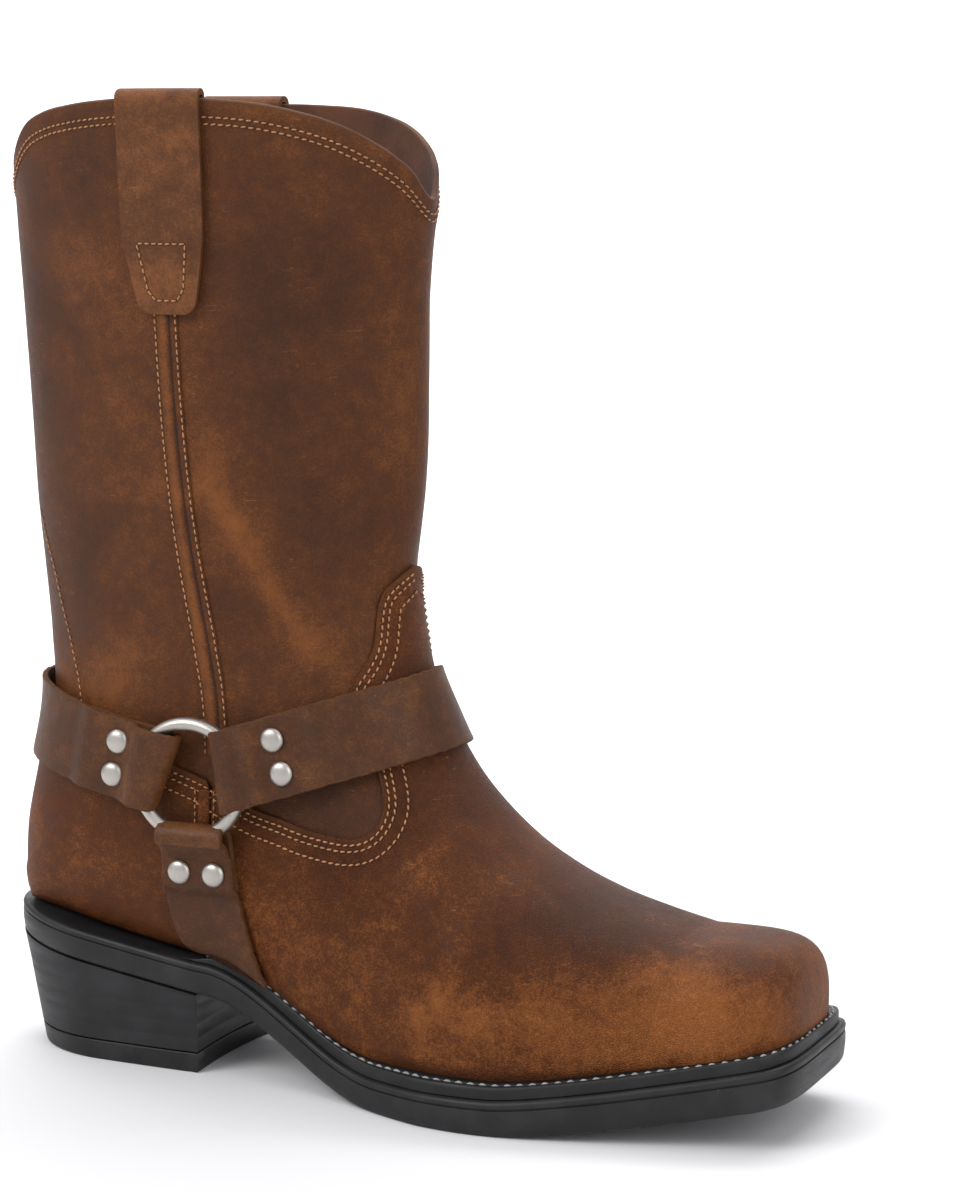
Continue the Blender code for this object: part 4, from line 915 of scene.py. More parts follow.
def cut_out(form, outline, inset):
    """The faces of a form inside an outline, cut along a line that runs beside it."""
    level = inside_distance(form.points[:, [0, 2]], np.asarray(outline)) - inset
    points = []
    normals = []
    index = {}

    def corner(a, b=None):
        key = (a, a) if b is None else (min(a, b), max(a, b))
        if key not in index:
            a, b = key
            t = 0.0 if a == b else level[a] / (level[a] - level[b])
            index[key] = len(points)
            points.append(form.points[a] * (1 - t) + form.points[b] * t)
            normals.append(unit(form.normals[a] * (1 - t) + form.normals[b] * t))
        return index[key]

    faces = []
    for face in form.faces[1:]:
        above = [level[k] > 0 for k in face]
        if not any(above):
            continue
        made = []
        for k, (a, b) in enumerate(zip(face, face[1:] + face[:1])):
            if above[k]:
                made.append(corner(a))
            if above[k] != (level[b] > 0):
                made.append(corner(a, b))
        if len(made) > 2:
            faces.append(made)
    return np.array(points), np.array(normals), faces


# %% Outlines of vamp and counter
EDGE_ROUND = 0.0004
seam_x = float(along(SIDE_SEAM))
vamp_line = through(side_view(VAMP_EDGE), 160)
counter_line = through(side_view(COUNTER_EDGE), 40)
ledge_shares = np.linspace(-0.10, WELT_START, 14)
ledge = [(float(along(s)), float(outsole_top(along(s))) + GAP) for s in ledge_shares]
ledge += [(float(along(s)), float(welt_top(along(s)))) for s in np.linspace(WELT_START + 0.004, 1.02, 60)]
ledge = np.array(ledge)
seam_top = float(np.interp(seam_x, vamp_line[:, 0][:20], vamp_line[:, 1][:20]))
seam_foot = float(np.interp(seam_x, ledge[:, 0], ledge[:, 1]))
vamp_outline = [(seam_x + GAP / 2, seam_top)] + [p for p in vamp_line if p[0] > seam_x + GAP]
vamp_outline += [(float(along(1.1)), vamp_line[-1][1]), (float(along(1.1)), ledge[-1][1])]
vamp_outline += [p for p in ledge[::-1] if p[0] > seam_x + GAP] + [(seam_x + GAP / 2, seam_foot)]
counter_outline = [p for p in counter_line if p[0] < seam_x - GAP] + [(seam_x - GAP / 2, seam_top)]
counter_outline += [(seam_x - GAP / 2, seam_foot)] + [p for p in ledge[::-1] if p[0] < seam_x - GAP]

# %% Sew on vamp and counter
for name, outline in (("vamp", vamp_outline), ("counter", counter_outline)):
    outline = np.array([(float(x), float(z)) for x, z in outline])
    points, normals, faces = cut_out(over_skin, outline, EDGE_ROUND)
    points, faces, looks, edge = walled(points, normals, faces, OVERLAY, EDGE_ROUND)
    marks_and_painted_light = wear_and_painted_light(points)
    near = inside_distance(points[:, [0, 2]], outline)
    marks_and_painted_light["edge"] = np.maximum(edge * 0.8, 0.35 * np.exp(-np.maximum(near, 0.0) / 0.0009))
    piece(name, points, faces, vamp_leather, [name], "vamp_leather", marks_and_painted_light)
    print(name, TRIANGLES[name], "triangles")

# %% [markdown]
# ## Stitches
# A stitch is a short, slightly slanted bead of thread that dives into the leather at both ends. A
# boot like this shows well over a thousand, so they aren't separate objects: every row adds beads
# and needle holes to two lists of arrays, and each list becomes one mesh at the end. A needle hole
# is a small flat dark disc on the leather: painted shade for the hole.

# %% Bead of thread, and a needle hole as a disc of painted shade
BEAD_RINGS = 7
BEAD_ROUND = 8


def bead(length, width, lift):
    points = []
    for t in np.linspace(-1.0, 1.0, BEAD_RINGS):
        radius = width / 2 * (1 - 0.75 * abs(t) ** 3)
        rise = lift * (1 - t * t) - lift * 0.5
        for turn in full_turn(BEAD_ROUND):
            points.append((t * length / 2, radius * math.cos(turn), rise + radius * math.sin(turn)))
    return np.array(points), flipped(capped_faces(BEAD_RINGS, BEAD_ROUND))


# a flat dark disc: painted shade where the thread goes into the leather
def hole(width):
    points = [(0.0, 0.0, 0.00004)]
    for turn in full_turn(BEAD_ROUND):
        points.append((width * 0.75 * math.cos(turn), width / 2 * math.sin(turn), 0.0))
    return np.array(points), [[0, 1 + k, 1 + (k + 1) % BEAD_ROUND] for k in range(BEAD_ROUND)]


class Sewing:
    """Many small copies of a few templates, gathered as one list of points and one of faces."""

    def __init__(self):
        self.points = []
        self.faces = []
        self.count = 0
        self.copies = 0

    def add(self, template, place, forward, normal):
        points, faces = template
        side = np.cross(normal, forward)
        turned = points @ np.array([forward, side, normal]) + place
        self.points.append(turned)
        self.faces += [[self.count + k for k in face] for face in faces]
        self.count += len(points)
        self.copies += 1


threads = Sewing()
pale_threads = Sewing()
hole_shades = Sewing()
draws = np.random.default_rng(7)


def stitch_row(line, form, pitch=0.0026, width=0.00068, sewing=threads, slant=9.0, lift=0.00030,
               share=0.74, holed=True):
    """Beads along a line of points that lie on a form."""
    line = np.asarray(line, float)
    steps = lengths(line)
    count = max(2, int(round(steps[-1] / pitch)))
    at = (np.arange(count) + 0.5) * steps[-1] / count
    half = pitch * 0.3
    for middle in at:
        ahead, behind, centre = (np.array([np.interp(s, steps, line[:, k]) for k in range(3)])
                                 for s in (middle + half, middle - half, middle))
        place, normal = form.nearest(centre)
        forward = ahead - behind
        forward -= normal * (forward @ normal)
        forward /= np.linalg.norm(forward) + 1e-12
        angle = math.radians(slant + draws.normal(0.0, 2.5))
        side = np.cross(normal, forward)
        beam = forward * math.cos(angle) + side * math.sin(angle)
        length = pitch * share * (1 + draws.normal(0.0, 0.04))
        template = bead(length, width, lift)
        sewing.add(template, place + normal * width * 0.30, beam, normal)
        # a dark disc of painted shade at each end of the stitch
        if holed:
            for end in (-0.5, 0.5):
                spot = place + beam * (length * 0.98 * end) + normal * 0.00003
                hole_shades.add(hole(width * 0.95), spot, beam, normal)


# %% [markdown]
# A row that runs beside an edge has to keep its distance on the curved leather, not in the side
# view. So it is walked: at each point of the edge, a step of that distance is taken across the
# surface, and the foot of the step is brought back onto the leather.

# %% A row beside an edge
def evened(line, times):
    """The same line with its small kinks taken out; its ends stay."""
    for _ in range(times):
        line[1:-1] = (line[:-2] + 2 * line[1:-1] + line[2:]) / 4
    return line


def offset_line(edge_line, form, side, distance):
    """A line on a form that keeps its distance from an edge, given as seen from the side."""
    places = []
    for x, z in edge_line:
        front = form.meet((0.03, 0.0, float(z)), (1.0, 0.0, 0.0))[0][0]
        if x < front - 0.0003:
            places.append(form.drop(float(x), float(z), side))
    spots = np.array([p[0] for p in places])
    normals = np.array([p[1] for p in places])
    tangent = np.gradient(spots, axis=0)
    tangent /= np.linalg.norm(tangent, axis=1)[:, None] + 1e-12
    across = np.cross(normals, tangent) * side
    moved = np.array([form.nearest(s + a * distance)[0] for s, a in zip(spots, across)])
    clear = []
    for spot in moved:
        if np.linalg.norm(spots - spot, axis=1).min() > distance * 0.93 and spot[1] * side > 0.0006:
            clear.append(spot)
    return evened(np.array(clear), 4)


# %% Rows on vamp, counter and shaft, with their distances from the edge
VAMP_ROWS = (0.0021, 0.0043, 0.0088)
COUNTER_ROWS = (0.0021, 0.0045, 0.0085)
ANKLE_ROW = (
    (0.050, 1.345), (0.0608, 1.288), (0.0783, 1.206), (0.0896, 1.134), (0.1027, 1.0515),
    (0.1150, 0.980), (0.1232, 0.9345), (0.130, 0.880),
)


def part_of(line, start, end):
    count = len(line)
    return line[int(start * count):int(end * count)]


low_sweep = part_of(vamp_line, 0.0, 0.575)
tongue = part_of(vamp_line, 0.60, 0.985)
back_line = np.array([p for p in counter_line if p[0] > along(0.02) and p[0] < seam_x - 0.001])
ankle_line = through(side_view(ANKLE_ROW), 60)
for side in (-1.0, 1.0):
    for distance in VAMP_ROWS:
        for line in (low_sweep, tongue):
            stitch_row(offset_line(line, over_skin, side, distance), over_skin)
    for distance in COUNTER_ROWS:
        stitch_row(offset_line(back_line, over_skin, side, distance), over_skin)
    stitch_row([skin.drop(float(x), float(z), side)[0] for x, z in ankle_line], skin, width=0.00055)
print("threads so far", threads.copies)

# %% [markdown]
# ## Collar stitching
# Two close rows follow the collar a few millimetres below its edge and hold the lining. The collar
# is the last loop of the form, so the rows are the same loop, slid down the shaft by a distance.

# %% Rows under the collar
COLLAR_ROWS = (0.0055, 0.0078)


def below_collar(distance):
    line = []
    for column in np.arange(0, AROUND + 1) % AROUND:
        stack = loops[::-1, column][:60]
        steps = lengths(stack)
        line.append([np.interp(distance, steps, stack[:, k]) for k in range(3)])
    return np.array([skin.nearest(p)[0] for p in line])


for distance in COLLAR_ROWS:
    stitch_row(evened(below_collar(distance), 3), skin, width=0.00062)
print("threads so far", threads.copies)

# %% [markdown]
# ## Side seams
# Where front and back of the shaft meet, a folded strip covers the joint: a rounded crown, a dark
# dotted line where the needle pulled it down, then a flatter flap. The crown is painted lighter, for
# the pull-up of the folded leather and as a painted highlight; the groove under the dots and the flap
# are painted darker as shade, and the dots are discs of painted shade. Its cross section is a short
# table of places across the strip and heights over the leather.

# %% Seam strips
SIDES = (("lateral", -1.0), ("medial", 1.0))
MEDIAL_PULL_BACK = 0.016
SEAM_FOOT_RISE = 0.79
SEAM_SECTION = np.array([
    # across  height
    (-0.500, 0.10), (-0.490, 0.42), (-0.460, 0.55), (-0.400, 0.60), (-0.330, 0.85), (-0.250, 1.00),
    (-0.100, 1.05), (0.030, 1.00), (0.090, 0.80), (0.120, 0.42), (0.150, 0.35), (0.180, 0.45),
    (0.240, 0.62), (0.330, 0.62), (0.420, 0.58), (0.470, 0.48), (0.493, 0.36), (0.500, 0.10),
])
SEAM_DOTS = 0.150
SEAM_ROWS = (-0.430, 0.430)


def seam_middle(z, side):
    above = (z - INSTEP_HEIGHT) / (SHAFT_HEIGHT - INSTEP_HEIGHT)
    rise = 1 + above if above >= 0 else z / INSTEP_HEIGHT
    x = float(along(smooth(SEAM_LINE[:, 0], SEAM_LINE[:, 1], rise)))
    low = INSTEP_HEIGHT * SEAM_FOOT_RISE
    top = SHAFT_HEIGHT - PULL_LENGTH - GAP
    if side > 0:
        x -= MEDIAL_PULL_BACK * float(ease((z - low) / (top - low)))
    return x


def tube_faces(count, around):
    faces = ring_faces(count, around)[1:]
    faces.append(list(range(around)))
    faces.append([(count - 1) * around + k for k in reversed(range(around))])
    return flipped(faces)


def strip(name, path, side, section, width, thickness, form, look, slot, replaces, values=None):
    """A strip along a path of (x, z) places, with a cross section in shares of width and thickness."""
    points = []
    for x, z in path:
        top = []
        base = []
        for across, level in section:
            spot, normal = form.drop(x + across * width, z, side)
            top.append(spot + normal * (level * thickness))
            base.append(spot + normal * 0.00005)
        points += top + base[::-1]
    around = 2 * len(section)
    faces = tube_faces(len(path), around)
    if side > 0:
        faces = flipped(faces)
    count = len(path)
    layers = {}
    for key, numbers in (values or {}).items():
        layers[key] = np.tile(np.concatenate([numbers, numbers[::-1]]), count)
    return piece(name, points, faces, look, replaces, slot, layers, sharp=55.0)


# across the strip: lighter on the crown (pull-up and painted highlight), painted shade in the dotted groove
# and on the flap
crown_pullup_and_highlight = np.exp(-(((SEAM_SECTION[:, 0] + 0.12) / 0.16) ** 2)) * 0.55
groove_shade = np.exp(-(((SEAM_SECTION[:, 0] - SEAM_DOTS) / 0.045) ** 2)) * 0.8
flap_shade = np.exp(-(((SEAM_SECTION[:, 0] - 0.36) / 0.12) ** 2)) * 0.15
for word, side in SIDES:
    top = SHAFT_HEIGHT - PULL_LENGTH + 0.004
    levels = np.linspace(INSTEP_HEIGHT * SEAM_FOOT_RISE, top, 90)
    path = [(seam_middle(z, side), z) for z in levels]
    values = {"light": crown_pullup_and_highlight, "dark": groove_shade + flap_shade}
    strip("side_seam_" + word, path, side, SEAM_SECTION, SEAM_WIDTH, SEAM_THICKNESS, skin,
          shaft_leather, "shaft_leather", ["side_seam_" + word], values)
    for share in SEAM_ROWS:
        row = [skin.drop(x + share * SEAM_WIDTH, z, side) for x, z in path]
        lifted = skin.raised(SEAM_THICKNESS * 0.58)
        stitch_row([p + n * SEAM_THICKNESS * 0.58 for p, n in row], lifted, width=0.00060, slant=4.0)
    # dark discs of painted shade in the dimples where the needle pulled the strip down
    dots = [skin.drop(x + SEAM_DOTS * SEAM_WIDTH, z, side) for x, z in path]
    lifted = skin.raised(SEAM_THICKNESS * 0.40)
    steps = np.linspace(0, len(dots) - 1, 110)
    for at in steps:
        spot, normal = dots[int(at)]
        part = min(int(at) + 1, len(dots) - 1)
        spot = spot + (dots[part][0] - spot) * (at - int(at)) + normal * SEAM_THICKNESS * 0.42
        hole_shades.add(hole(0.0007), spot, np.cross(normal, (1.0, 0.0, 0.0)), normal)
print("threads so far", threads.copies)

# %% [markdown]
# ## The joint cover inside the ring
# Below the shaft's seam, vamp and counter meet under a small upright tab with a row of thread on
# each side. It shows only through the ring, but there it is in the middle of the picture.

# %% Joint covers
COVER_ALONG = 0.2992
COVER_WIDTH = 0.0046
COVER_THICKNESS = 0.0011
COVER_TOP = 0.1035
COVER_FOOT = 0.0800
COVER_LEAN = 0.02
COVER_SECTION = np.array([
    (-0.500, 0.10), (-0.480, 0.60), (-0.420, 0.85), (-0.250, 0.97), (0.000, 1.00),
    (0.250, 0.97), (0.420, 0.85), (0.480, 0.60), (0.500, 0.10),
])
for word, side in SIDES:
    levels = np.linspace(COVER_FOOT, COVER_TOP, 14)
    path = [(float(along(COVER_ALONG)) - (COVER_TOP - z) * COVER_LEAN, z) for z in levels]
    # the light number follows the section's height: a painted highlight on the cover's rounded top
    strip("joint_cover_" + word, path, side, COVER_SECTION, COVER_WIDTH, COVER_THICKNESS, over_skin,
          vamp_leather, "vamp_leather", (), {"light": COVER_SECTION[:, 1] * 0.2})
    for share in (-0.80, 0.80):
        row = [over_skin.drop(x + share * COVER_WIDTH, z, side)[0] for x, z in path]
        stitch_row(row, over_skin, width=0.00060, slant=4.0)

# %% [markdown]
# ## The harness
# A ring lies on the ankle, and each strap folds round it and is riveted to itself. The strap is one
# flat ribbon, so it is swept along its own middle line: out from the cut end, round the fold, over
# the wire, down onto its own tail and away round the boot. That line has two numbers, the run from
# the ring's middle and the height over the boot, which keeps the folds easy to draw.

# %% The ring's place on each side
RING_ALONG = 0.289
RING_RISE = 0.735
RING_X = float(along(RING_ALONG))
RING_Z = INSTEP_HEIGHT * RING_RISE
RING_RADIUS = (RING_OUTER - RING_WIRE) / 2
LOOP_HEIGHT = 2 * STRAP_THICKNESS + RING_WIRE + 2 * GAP


class Harness:
    """The plane of the ring on one side, resting on the boot."""

    def __init__(self, word, side):
        self.word = word
        self.side = side
        point, normal = strap_guide.drop(RING_X, RING_Z, side)
        radius = RING_OUTER / 2
        samples = [strap_guide.drop(RING_X + radius * math.cos(t), RING_Z + radius * math.sin(t), side)
                   for t in full_turn(16)]
        self.normal = unit(normal + sum(sample[1] for sample in samples) / len(samples))
        lift = max(float((sample[0] - point) @ self.normal) for sample in samples)
        self.foot = point + self.normal * max(lift, 0.0)
        self.forward = unit(np.array([1.0, 0, 0]) - self.normal * self.normal[0])
        self.upward = np.cross(self.normal, self.forward) * -side
        if self.upward[2] < 0:
            self.upward = -self.upward
        self.centre = self.foot + self.normal * (STRAP_THICKNESS + GAP + RING_WIRE / 2)

    def on_plane(self, run, across, slope, heading):
        angle = math.radians(slope)
        out = self.forward * math.cos(angle) * heading + self.upward * math.sin(angle)
        over = self.upward * math.cos(angle) - self.forward * math.sin(angle) * heading
        return self.foot + out * run + over * across


pair = [Harness(word, side) for word, side in SIDES]

# %% A strap's surface, from ring to ring or down to the welt
FRONT_FOLD, BACK_FOLD, DOWN_FOLD = 0.0105, 0.0082, 0.0150
FRONT_RIVETS, BACK_RIVETS, DOWN_RIVETS = 0.0325, 0.0292, 0.0328
TRACK_SPACE = 0.0300
TRACK_TURN = 118
TRACK_STEPS = 473
RUN_SPARE = 0.0040
RUN_STEP = 0.0014
SLANT_ENDS = 0.0120
FLAT_UNTIL = 0.0260
FOLLOWS_FROM = 0.0480
DOWN_SETTLES = 0.0220
DOWN_LEAN = 4.0
DOWN_BEND = 7.6
DOWN_BEND_START = 0.035
DOWN_TOP_WIDTH = 0.0250
DOWN_END_WIDTH = 0.0325
DOWN_CLEAR = 0.0010


def settled(run, harness, flat, point, up):
    """A place on a strap: flat on the ring's plane at first, and on the boot further out."""
    blend = float(ease((run - FLAT_UNTIL) / (FOLLOWS_FROM - FLAT_UNTIL)))
    return flat * (1 - blend) + point * blend, unit(harness.normal * (1 - blend) + up * blend)


class WrapStrap:
    """A strap that goes round the boot from one ring to the other."""

    def __init__(self, heading, slope, fold, slant):
        self.heading = heading
        self.slope = slope
        self.fold = fold
        self.slant = slant
        angle = math.radians(slope)
        self.out = np.array([math.cos(angle) * heading, 0, math.sin(angle)])
        self.over = np.array([-math.sin(angle) * heading, 0, math.cos(angle)])
        self.middle = np.array([RING_X, 0, RING_Z]) + self.out * TRACK_SPACE
        self.sweep = np.radians(np.linspace(-TRACK_TURN, TRACK_TURN, TRACK_STEPS))
        track = np.array([strap_guide.meet(self.middle, self.heading_at(t))[0] for t in self.sweep])
        self.steps = lengths(track)
        near = [int(np.linalg.norm(track - harness.foot, axis=1).argmin()) for harness in pair]
        self.start = self.steps[near[0]]
        self.total = self.steps[near[1]] - self.start

    def heading_at(self, turn):
        return self.out * math.cos(turn) + np.array([0, math.sin(turn), 0])

    def surface(self, run, across):
        lateral = run < self.total / 2
        harness = pair[0] if lateral else pair[1]
        local = run if lateral else self.total - run
        shear = self.slant * max(1 - (local - self.fold) / SLANT_ENDS, 0.0) * across
        local += shear
        turn = float(np.interp(self.start + run + (shear if lateral else -shear), self.steps, self.sweep))
        flat = harness.on_plane(local, across, self.slope, self.heading)
        point, up = strap_guide.meet(self.middle + self.over * across, self.heading_at(turn))
        return settled(local, harness, flat, point, up)


class DownStrap:
    """A strap that goes from a ring down to the welt."""

    def __init__(self, harness):
        self.harness = harness
        low = float(np.interp(RING_X + 0.012, ledge[:, 0], ledge[:, 1])) + GAP
        self.end = (RING_Z - low) / math.cos(math.radians(DOWN_LEAN)) - DOWN_CLEAR

    def surface(self, run, across):
        reach = (run - DOWN_FOLD) / (self.end - DOWN_FOLD)
        width = DOWN_TOP_WIDTH + (DOWN_END_WIDTH - DOWN_TOP_WIDTH) * reach
        lean = math.radians(DOWN_LEAN)
        bend = DOWN_BEND * max(run - DOWN_BEND_START, 0.0) ** 2
        x = RING_X + run * math.sin(lean) + bend + across / DOWN_TOP_WIDTH * width
        z = RING_Z - run * math.cos(lean)
        low = float(np.interp(x, ledge[:, 0], ledge[:, 1])) + GAP + DOWN_CLEAR
        settle = float(ease(1 - (self.end - run) / DOWN_SETTLES))
        z += (low - (RING_Z - self.end * math.cos(lean))) * settle
        harness = self.harness
        point, up = strap_guide.drop(x, z, harness.side)
        up = up * [1, 1, 1 - settle]
        point = point + up * DOWN_CLEAR / 2 * settle
        flat = harness.foot + harness.forward * (x - RING_X) + harness.upward * (z - RING_Z)
        return settled(run, harness, flat, point, up)


# %% [markdown]
# The middle line of the folded end: the tail lies on the boot, the fold is half a circle just high
# enough for the wire, the top layer crosses the wire, comes down on the tail and, where the tail
# ends, steps down to the boot. The points that matter are listed and a smooth curve runs through
# them.

# %% The ribbon's middle line
HALF_THICK = STRAP_THICKNESS / 2
TAIL_END = 0.0385
TWO_UP = 1.5 * STRAP_THICKNESS + 0.0001


def folded_line(fold):
    """The strap's middle line as (run, height), from its cut end round the fold and away."""
    low = HALF_THICK + 0.0001
    high = LOOP_HEIGHT - HALF_THICK
    radius = (high - low) / 2
    turn_at = fold + radius + HALF_THICK
    line = [(run, low) for run in np.linspace(TAIL_END, turn_at, 12)[:-1]]
    for turn in np.linspace(-90, 90, 15):
        t = math.radians(turn)
        line.append((turn_at - radius * math.cos(t), low + radius + radius * math.sin(t)))
    crest = np.array([
        (turn_at + 0.002, high), (0.0195, high - 0.0001), (0.0215, high - 0.0010), (0.0238, high - 0.0034),
        (0.0256, TWO_UP + 0.0008), (0.0280, TWO_UP), (0.0340, TWO_UP), (0.0378, TWO_UP),
        (0.0395, low + 0.0011), (0.0412, low + 0.0002), (0.0440, low), (0.0460, low),
    ])
    crest = crest[crest[:, 0] > turn_at + 0.001]
    return line + [tuple(p) for p in through(crest, 34)]


def strap_section(width, thickness, rounded=0.0007):
    """Cross section, as across and up from the middle, with rounded edges; and how much is edge."""
    section = []
    share = []
    flat = np.linspace(-0.5, 0.5, 13)[1:-1] * width
    for corner, start in (((1, 1), 90), ((1, -1), 0), ((-1, -1), -90), ((-1, 1), 180)):
        centre = (corner[0] * (width / 2 - rounded), corner[1] * (thickness / 2 - rounded))
        for turn in np.radians(np.linspace(start, start - 90, 5)):
            section.append((centre[0] + rounded * math.cos(turn), centre[1] + rounded * math.sin(turn)))
            share.append(min(1.0, 1.25 * abs(math.cos(turn)) ** 1.2))
        if corner == (1, -1):
            section += [(u, -thickness / 2) for u in flat[::-1]]
            share += [0.0] * len(flat)
        if corner == (-1, 1):
            section += [(u, thickness / 2) for u in flat]
            share += [0.0] * len(flat)
    return np.array(section), np.array(share)


def ribbon(name, surface, line, widths, mirrored, lights):
    """A strap swept along a line of (run, height), across a surface(run, across)."""
    line = np.asarray(line, float)
    section, share = strap_section(STRAP_WIDTH, STRAP_THICKNESS)
    direction = np.gradient(line, axis=0)
    direction /= np.linalg.norm(direction, axis=1)[:, None]
    across_at = np.linspace(-0.53, 0.53, 9) * STRAP_WIDTH
    first, last = line[:, 0].min() - RUN_SPARE, line[:, 0].max() + RUN_SPARE
    runs = np.linspace(first, last, int(np.ptp(line[:, 0]) / RUN_STEP) + 8)
    table = [[surface(float(run), float(u)) for u in across_at] for run in runs]
    spots = np.array([[cell[0] for cell in row] for row in table])
    ups = np.array([[cell[1] for cell in row] for row in table])

    def look_up(values, run, across):
        i = np.clip((run - runs[0]) / (runs[1] - runs[0]), 0, len(runs) - 1.001)
        j = np.clip((across - across_at[0]) / (across_at[1] - across_at[0]), 0, len(across_at) - 1.001)
        i0, j0 = i.astype(int), j.astype(int)
        fi, fj = (i - i0)[:, None], (j - j0)[:, None]
        low = values[i0, j0] * (1 - fj) + values[i0, j0 + 1] * fj
        high = values[i0 + 1, j0] * (1 - fj) + values[i0 + 1, j0 + 1] * fj
        return low * (1 - fi) + high * fi

    points = []
    lights_at = []
    for k, ((run, level), (ahead, climb)) in enumerate(zip(line, direction)):
        behind, ahead_of = widths(run)
        wander = 0.00012 * math.sin(k * 0.9) + 0.00009 * math.sin(k * 2.3 + 1)
        stretch = np.where(section[:, 0] < 0, behind, ahead_of) * 2 / STRAP_WIDTH
        u = section[:, 0] * stretch + np.sign(section[:, 0]) * wander * share
        v = section[:, 1]
        run_at = run - v * climb
        level_at = level + v * ahead
        points.append(look_up(spots, run_at, u) + look_up(ups, run_at, u) * level_at[:, None])
        lights_at.append(np.full(len(section), lights(run)))
    points = np.concatenate(points)
    faces = tube_faces(len(line), len(section))
    if mirrored:
        faces = flipped(faces)
    cut = np.tile(share, len(line))
    cut[:len(section)] = 0.8
    cut[-len(section):] = 0.8
    values = {"edge": cut, "light": np.concatenate(lights_at)}
    return piece(name, points, faces, strap_leather, [name], "strap_leather", values, sharp=60.0)


# %% Straps round the instep and round the heel
# lighter at each fold and where the strap comes down over the wire: the pull-up of the bent leather and a
# painted highlight on the rounded humps
def fold_pullup_and_highlight(run, fold):
    near = 0.55 * math.exp(-(((run - fold) / 0.0035) ** 2))
    return near + 0.25 * math.exp(-(((run - 0.0235) / 0.0025) ** 2))


front = WrapStrap(1, 17.6, FRONT_FOLD, 0.16)
back = WrapStrap(-1, 11.0, BACK_FOLD, -0.18)
for name, strap, fold in (("strap_front", front, FRONT_FOLD), ("strap_back", back, BACK_FOLD)):
    end = folded_line(fold)
    far = [(strap.total - run, level) for run, level in reversed(end)]
    plain = [(run, end[-1][1]) for run in np.linspace(end[-1][0], far[0][0], 110)[1:-1]]
    ribbon(name, strap.surface, end + plain + far, lambda run: (STRAP_WIDTH / 2, STRAP_WIDTH / 2),
           mirrored=strap.heading < 0,
           lights=lambda run: fold_pullup_and_highlight(min(run, strap.total - run), fold))
    print(name, TRIANGLES[name], "triangles")

# %% Straps down to the welt
CORNER_ROUND = 0.0045
CORNER_STEPS = CORNER_ROUND * np.sin(np.linspace(0, math.pi / 2, 9))[1:]
down_straps = []
for harness in pair:
    down = DownStrap(harness)
    down_straps.append(down)
    end = folded_line(DOWN_FOLD)
    last = down.end - 0.0004
    runs = np.linspace(end[-1][0], last - CORNER_ROUND, 22)[1:]
    plain = [(run, end[-1][1]) for run in np.concatenate([runs, last - CORNER_ROUND + CORNER_STEPS])]

    def rounded_corner(run):
        inside = min((last - run) / CORNER_ROUND, 1.0)
        cut = CORNER_ROUND * (1 - math.sqrt(max(1 - (1 - inside) ** 2, 0.0)))
        return DOWN_TOP_WIDTH / 2 - cut, DOWN_TOP_WIDTH / 2

    ribbon("strap_down_" + harness.word, down.surface, end + plain, rounded_corner,
           mirrored=harness.side < 0, lights=lambda run: fold_pullup_and_highlight(run, DOWN_FOLD))

# %% [markdown]
# ## Rings and rivets
# A ring is a torus: a circle of wire, swept round a larger circle. A rivet is a lathe shape: its
# profile turned about its own axis, with a thin skirt that beds into the leather. Both are small
# and bright, so they get enough points for an unbroken highlight.

# %% Ring and rivet
def frame_on(normal):
    normal = unit(normal)
    first = unit(np.cross(normal, (0.0, 0.0, 1.0)))
    return first, np.cross(normal, first), normal


def turned(profile, place, normal, steps=40):
    """A profile of (radius, height) turned about an axis, from the middle of its top outwards."""
    first, second, up = frame_on(normal)
    points = []
    for radius, level in profile:
        for t in full_turn(steps):
            points.append(place + (first * math.cos(t) + second * math.sin(t)) * radius + up * level)
    return points, capped_faces(len(profile), steps)


def ring_wire(place, normal, steps=120, sides=20):
    first, second, up = frame_on(normal)
    points = []
    for t in full_turn(steps):
        out = first * math.cos(t) + second * math.sin(t)
        for s in full_turn(sides):
            away = out * (RING_RADIUS + RING_WIRE / 2 * math.cos(s))
            points.append(place + away + up * RING_WIRE / 2 * math.sin(s))
    faces = []
    for j in range(steps):
        for k in range(sides):
            a, b = j * sides, (j + 1) % steps * sides
            faces.append([a + k, b + k, b + (k + 1) % sides, a + (k + 1) % sides])
    return points, faces


RIVET_PROFILE = [(RIVET_WIDTH / 2 * r, RIVET_HEIGHT * h) for r, h in (
    (0.03, 1.00), (0.25, 0.985), (0.45, 0.93), (0.63, 0.83), (0.78, 0.68), (0.89, 0.48), (0.955, 0.26),
    (0.985, 0.12), (1.00, 0.02), (0.97, -0.10), (0.90, -0.16),
)]
for harness in pair:
    points, faces = ring_wire(harness.centre, harness.normal)
    piece("ring_" + harness.word, points, faces, satin_nickel, ["ring_" + harness.word], "nickel", sharp=0)
for number, (harness, down) in enumerate(zip(pair, down_straps)):
    for count, across in enumerate((RIVET_SPACING / 2, -RIVET_SPACING / 2)):
        front_run = FRONT_RIVETS if number == 0 else front.total - FRONT_RIVETS
        back_run = BACK_RIVETS if number == 0 else back.total - BACK_RIVETS
        spots = (
            ("front", front.surface(front_run, across)),
            ("back", back.surface(back_run, across)),
            ("down", down.surface(DOWN_RIVETS, across)),
        )
        for place, (point, normal) in spots:
            name = f"rivet_{place}_{harness.word}_{count + 1}"
            points, faces = turned(RIVET_PROFILE, point + normal * (2 * STRAP_THICKNESS + 0.0003), normal)
            piece(name, points, faces, satin_nickel, [name], "nickel", sharp=0)

# %% [markdown]
# ## Pull straps
# A short strap folds over the collar on each side to pull the boot on by. Outside it narrows to a
# rounded tip with a small field of stitching. The same section as the harness straps is swept from
# the tip up, over the collar and a little way down inside.

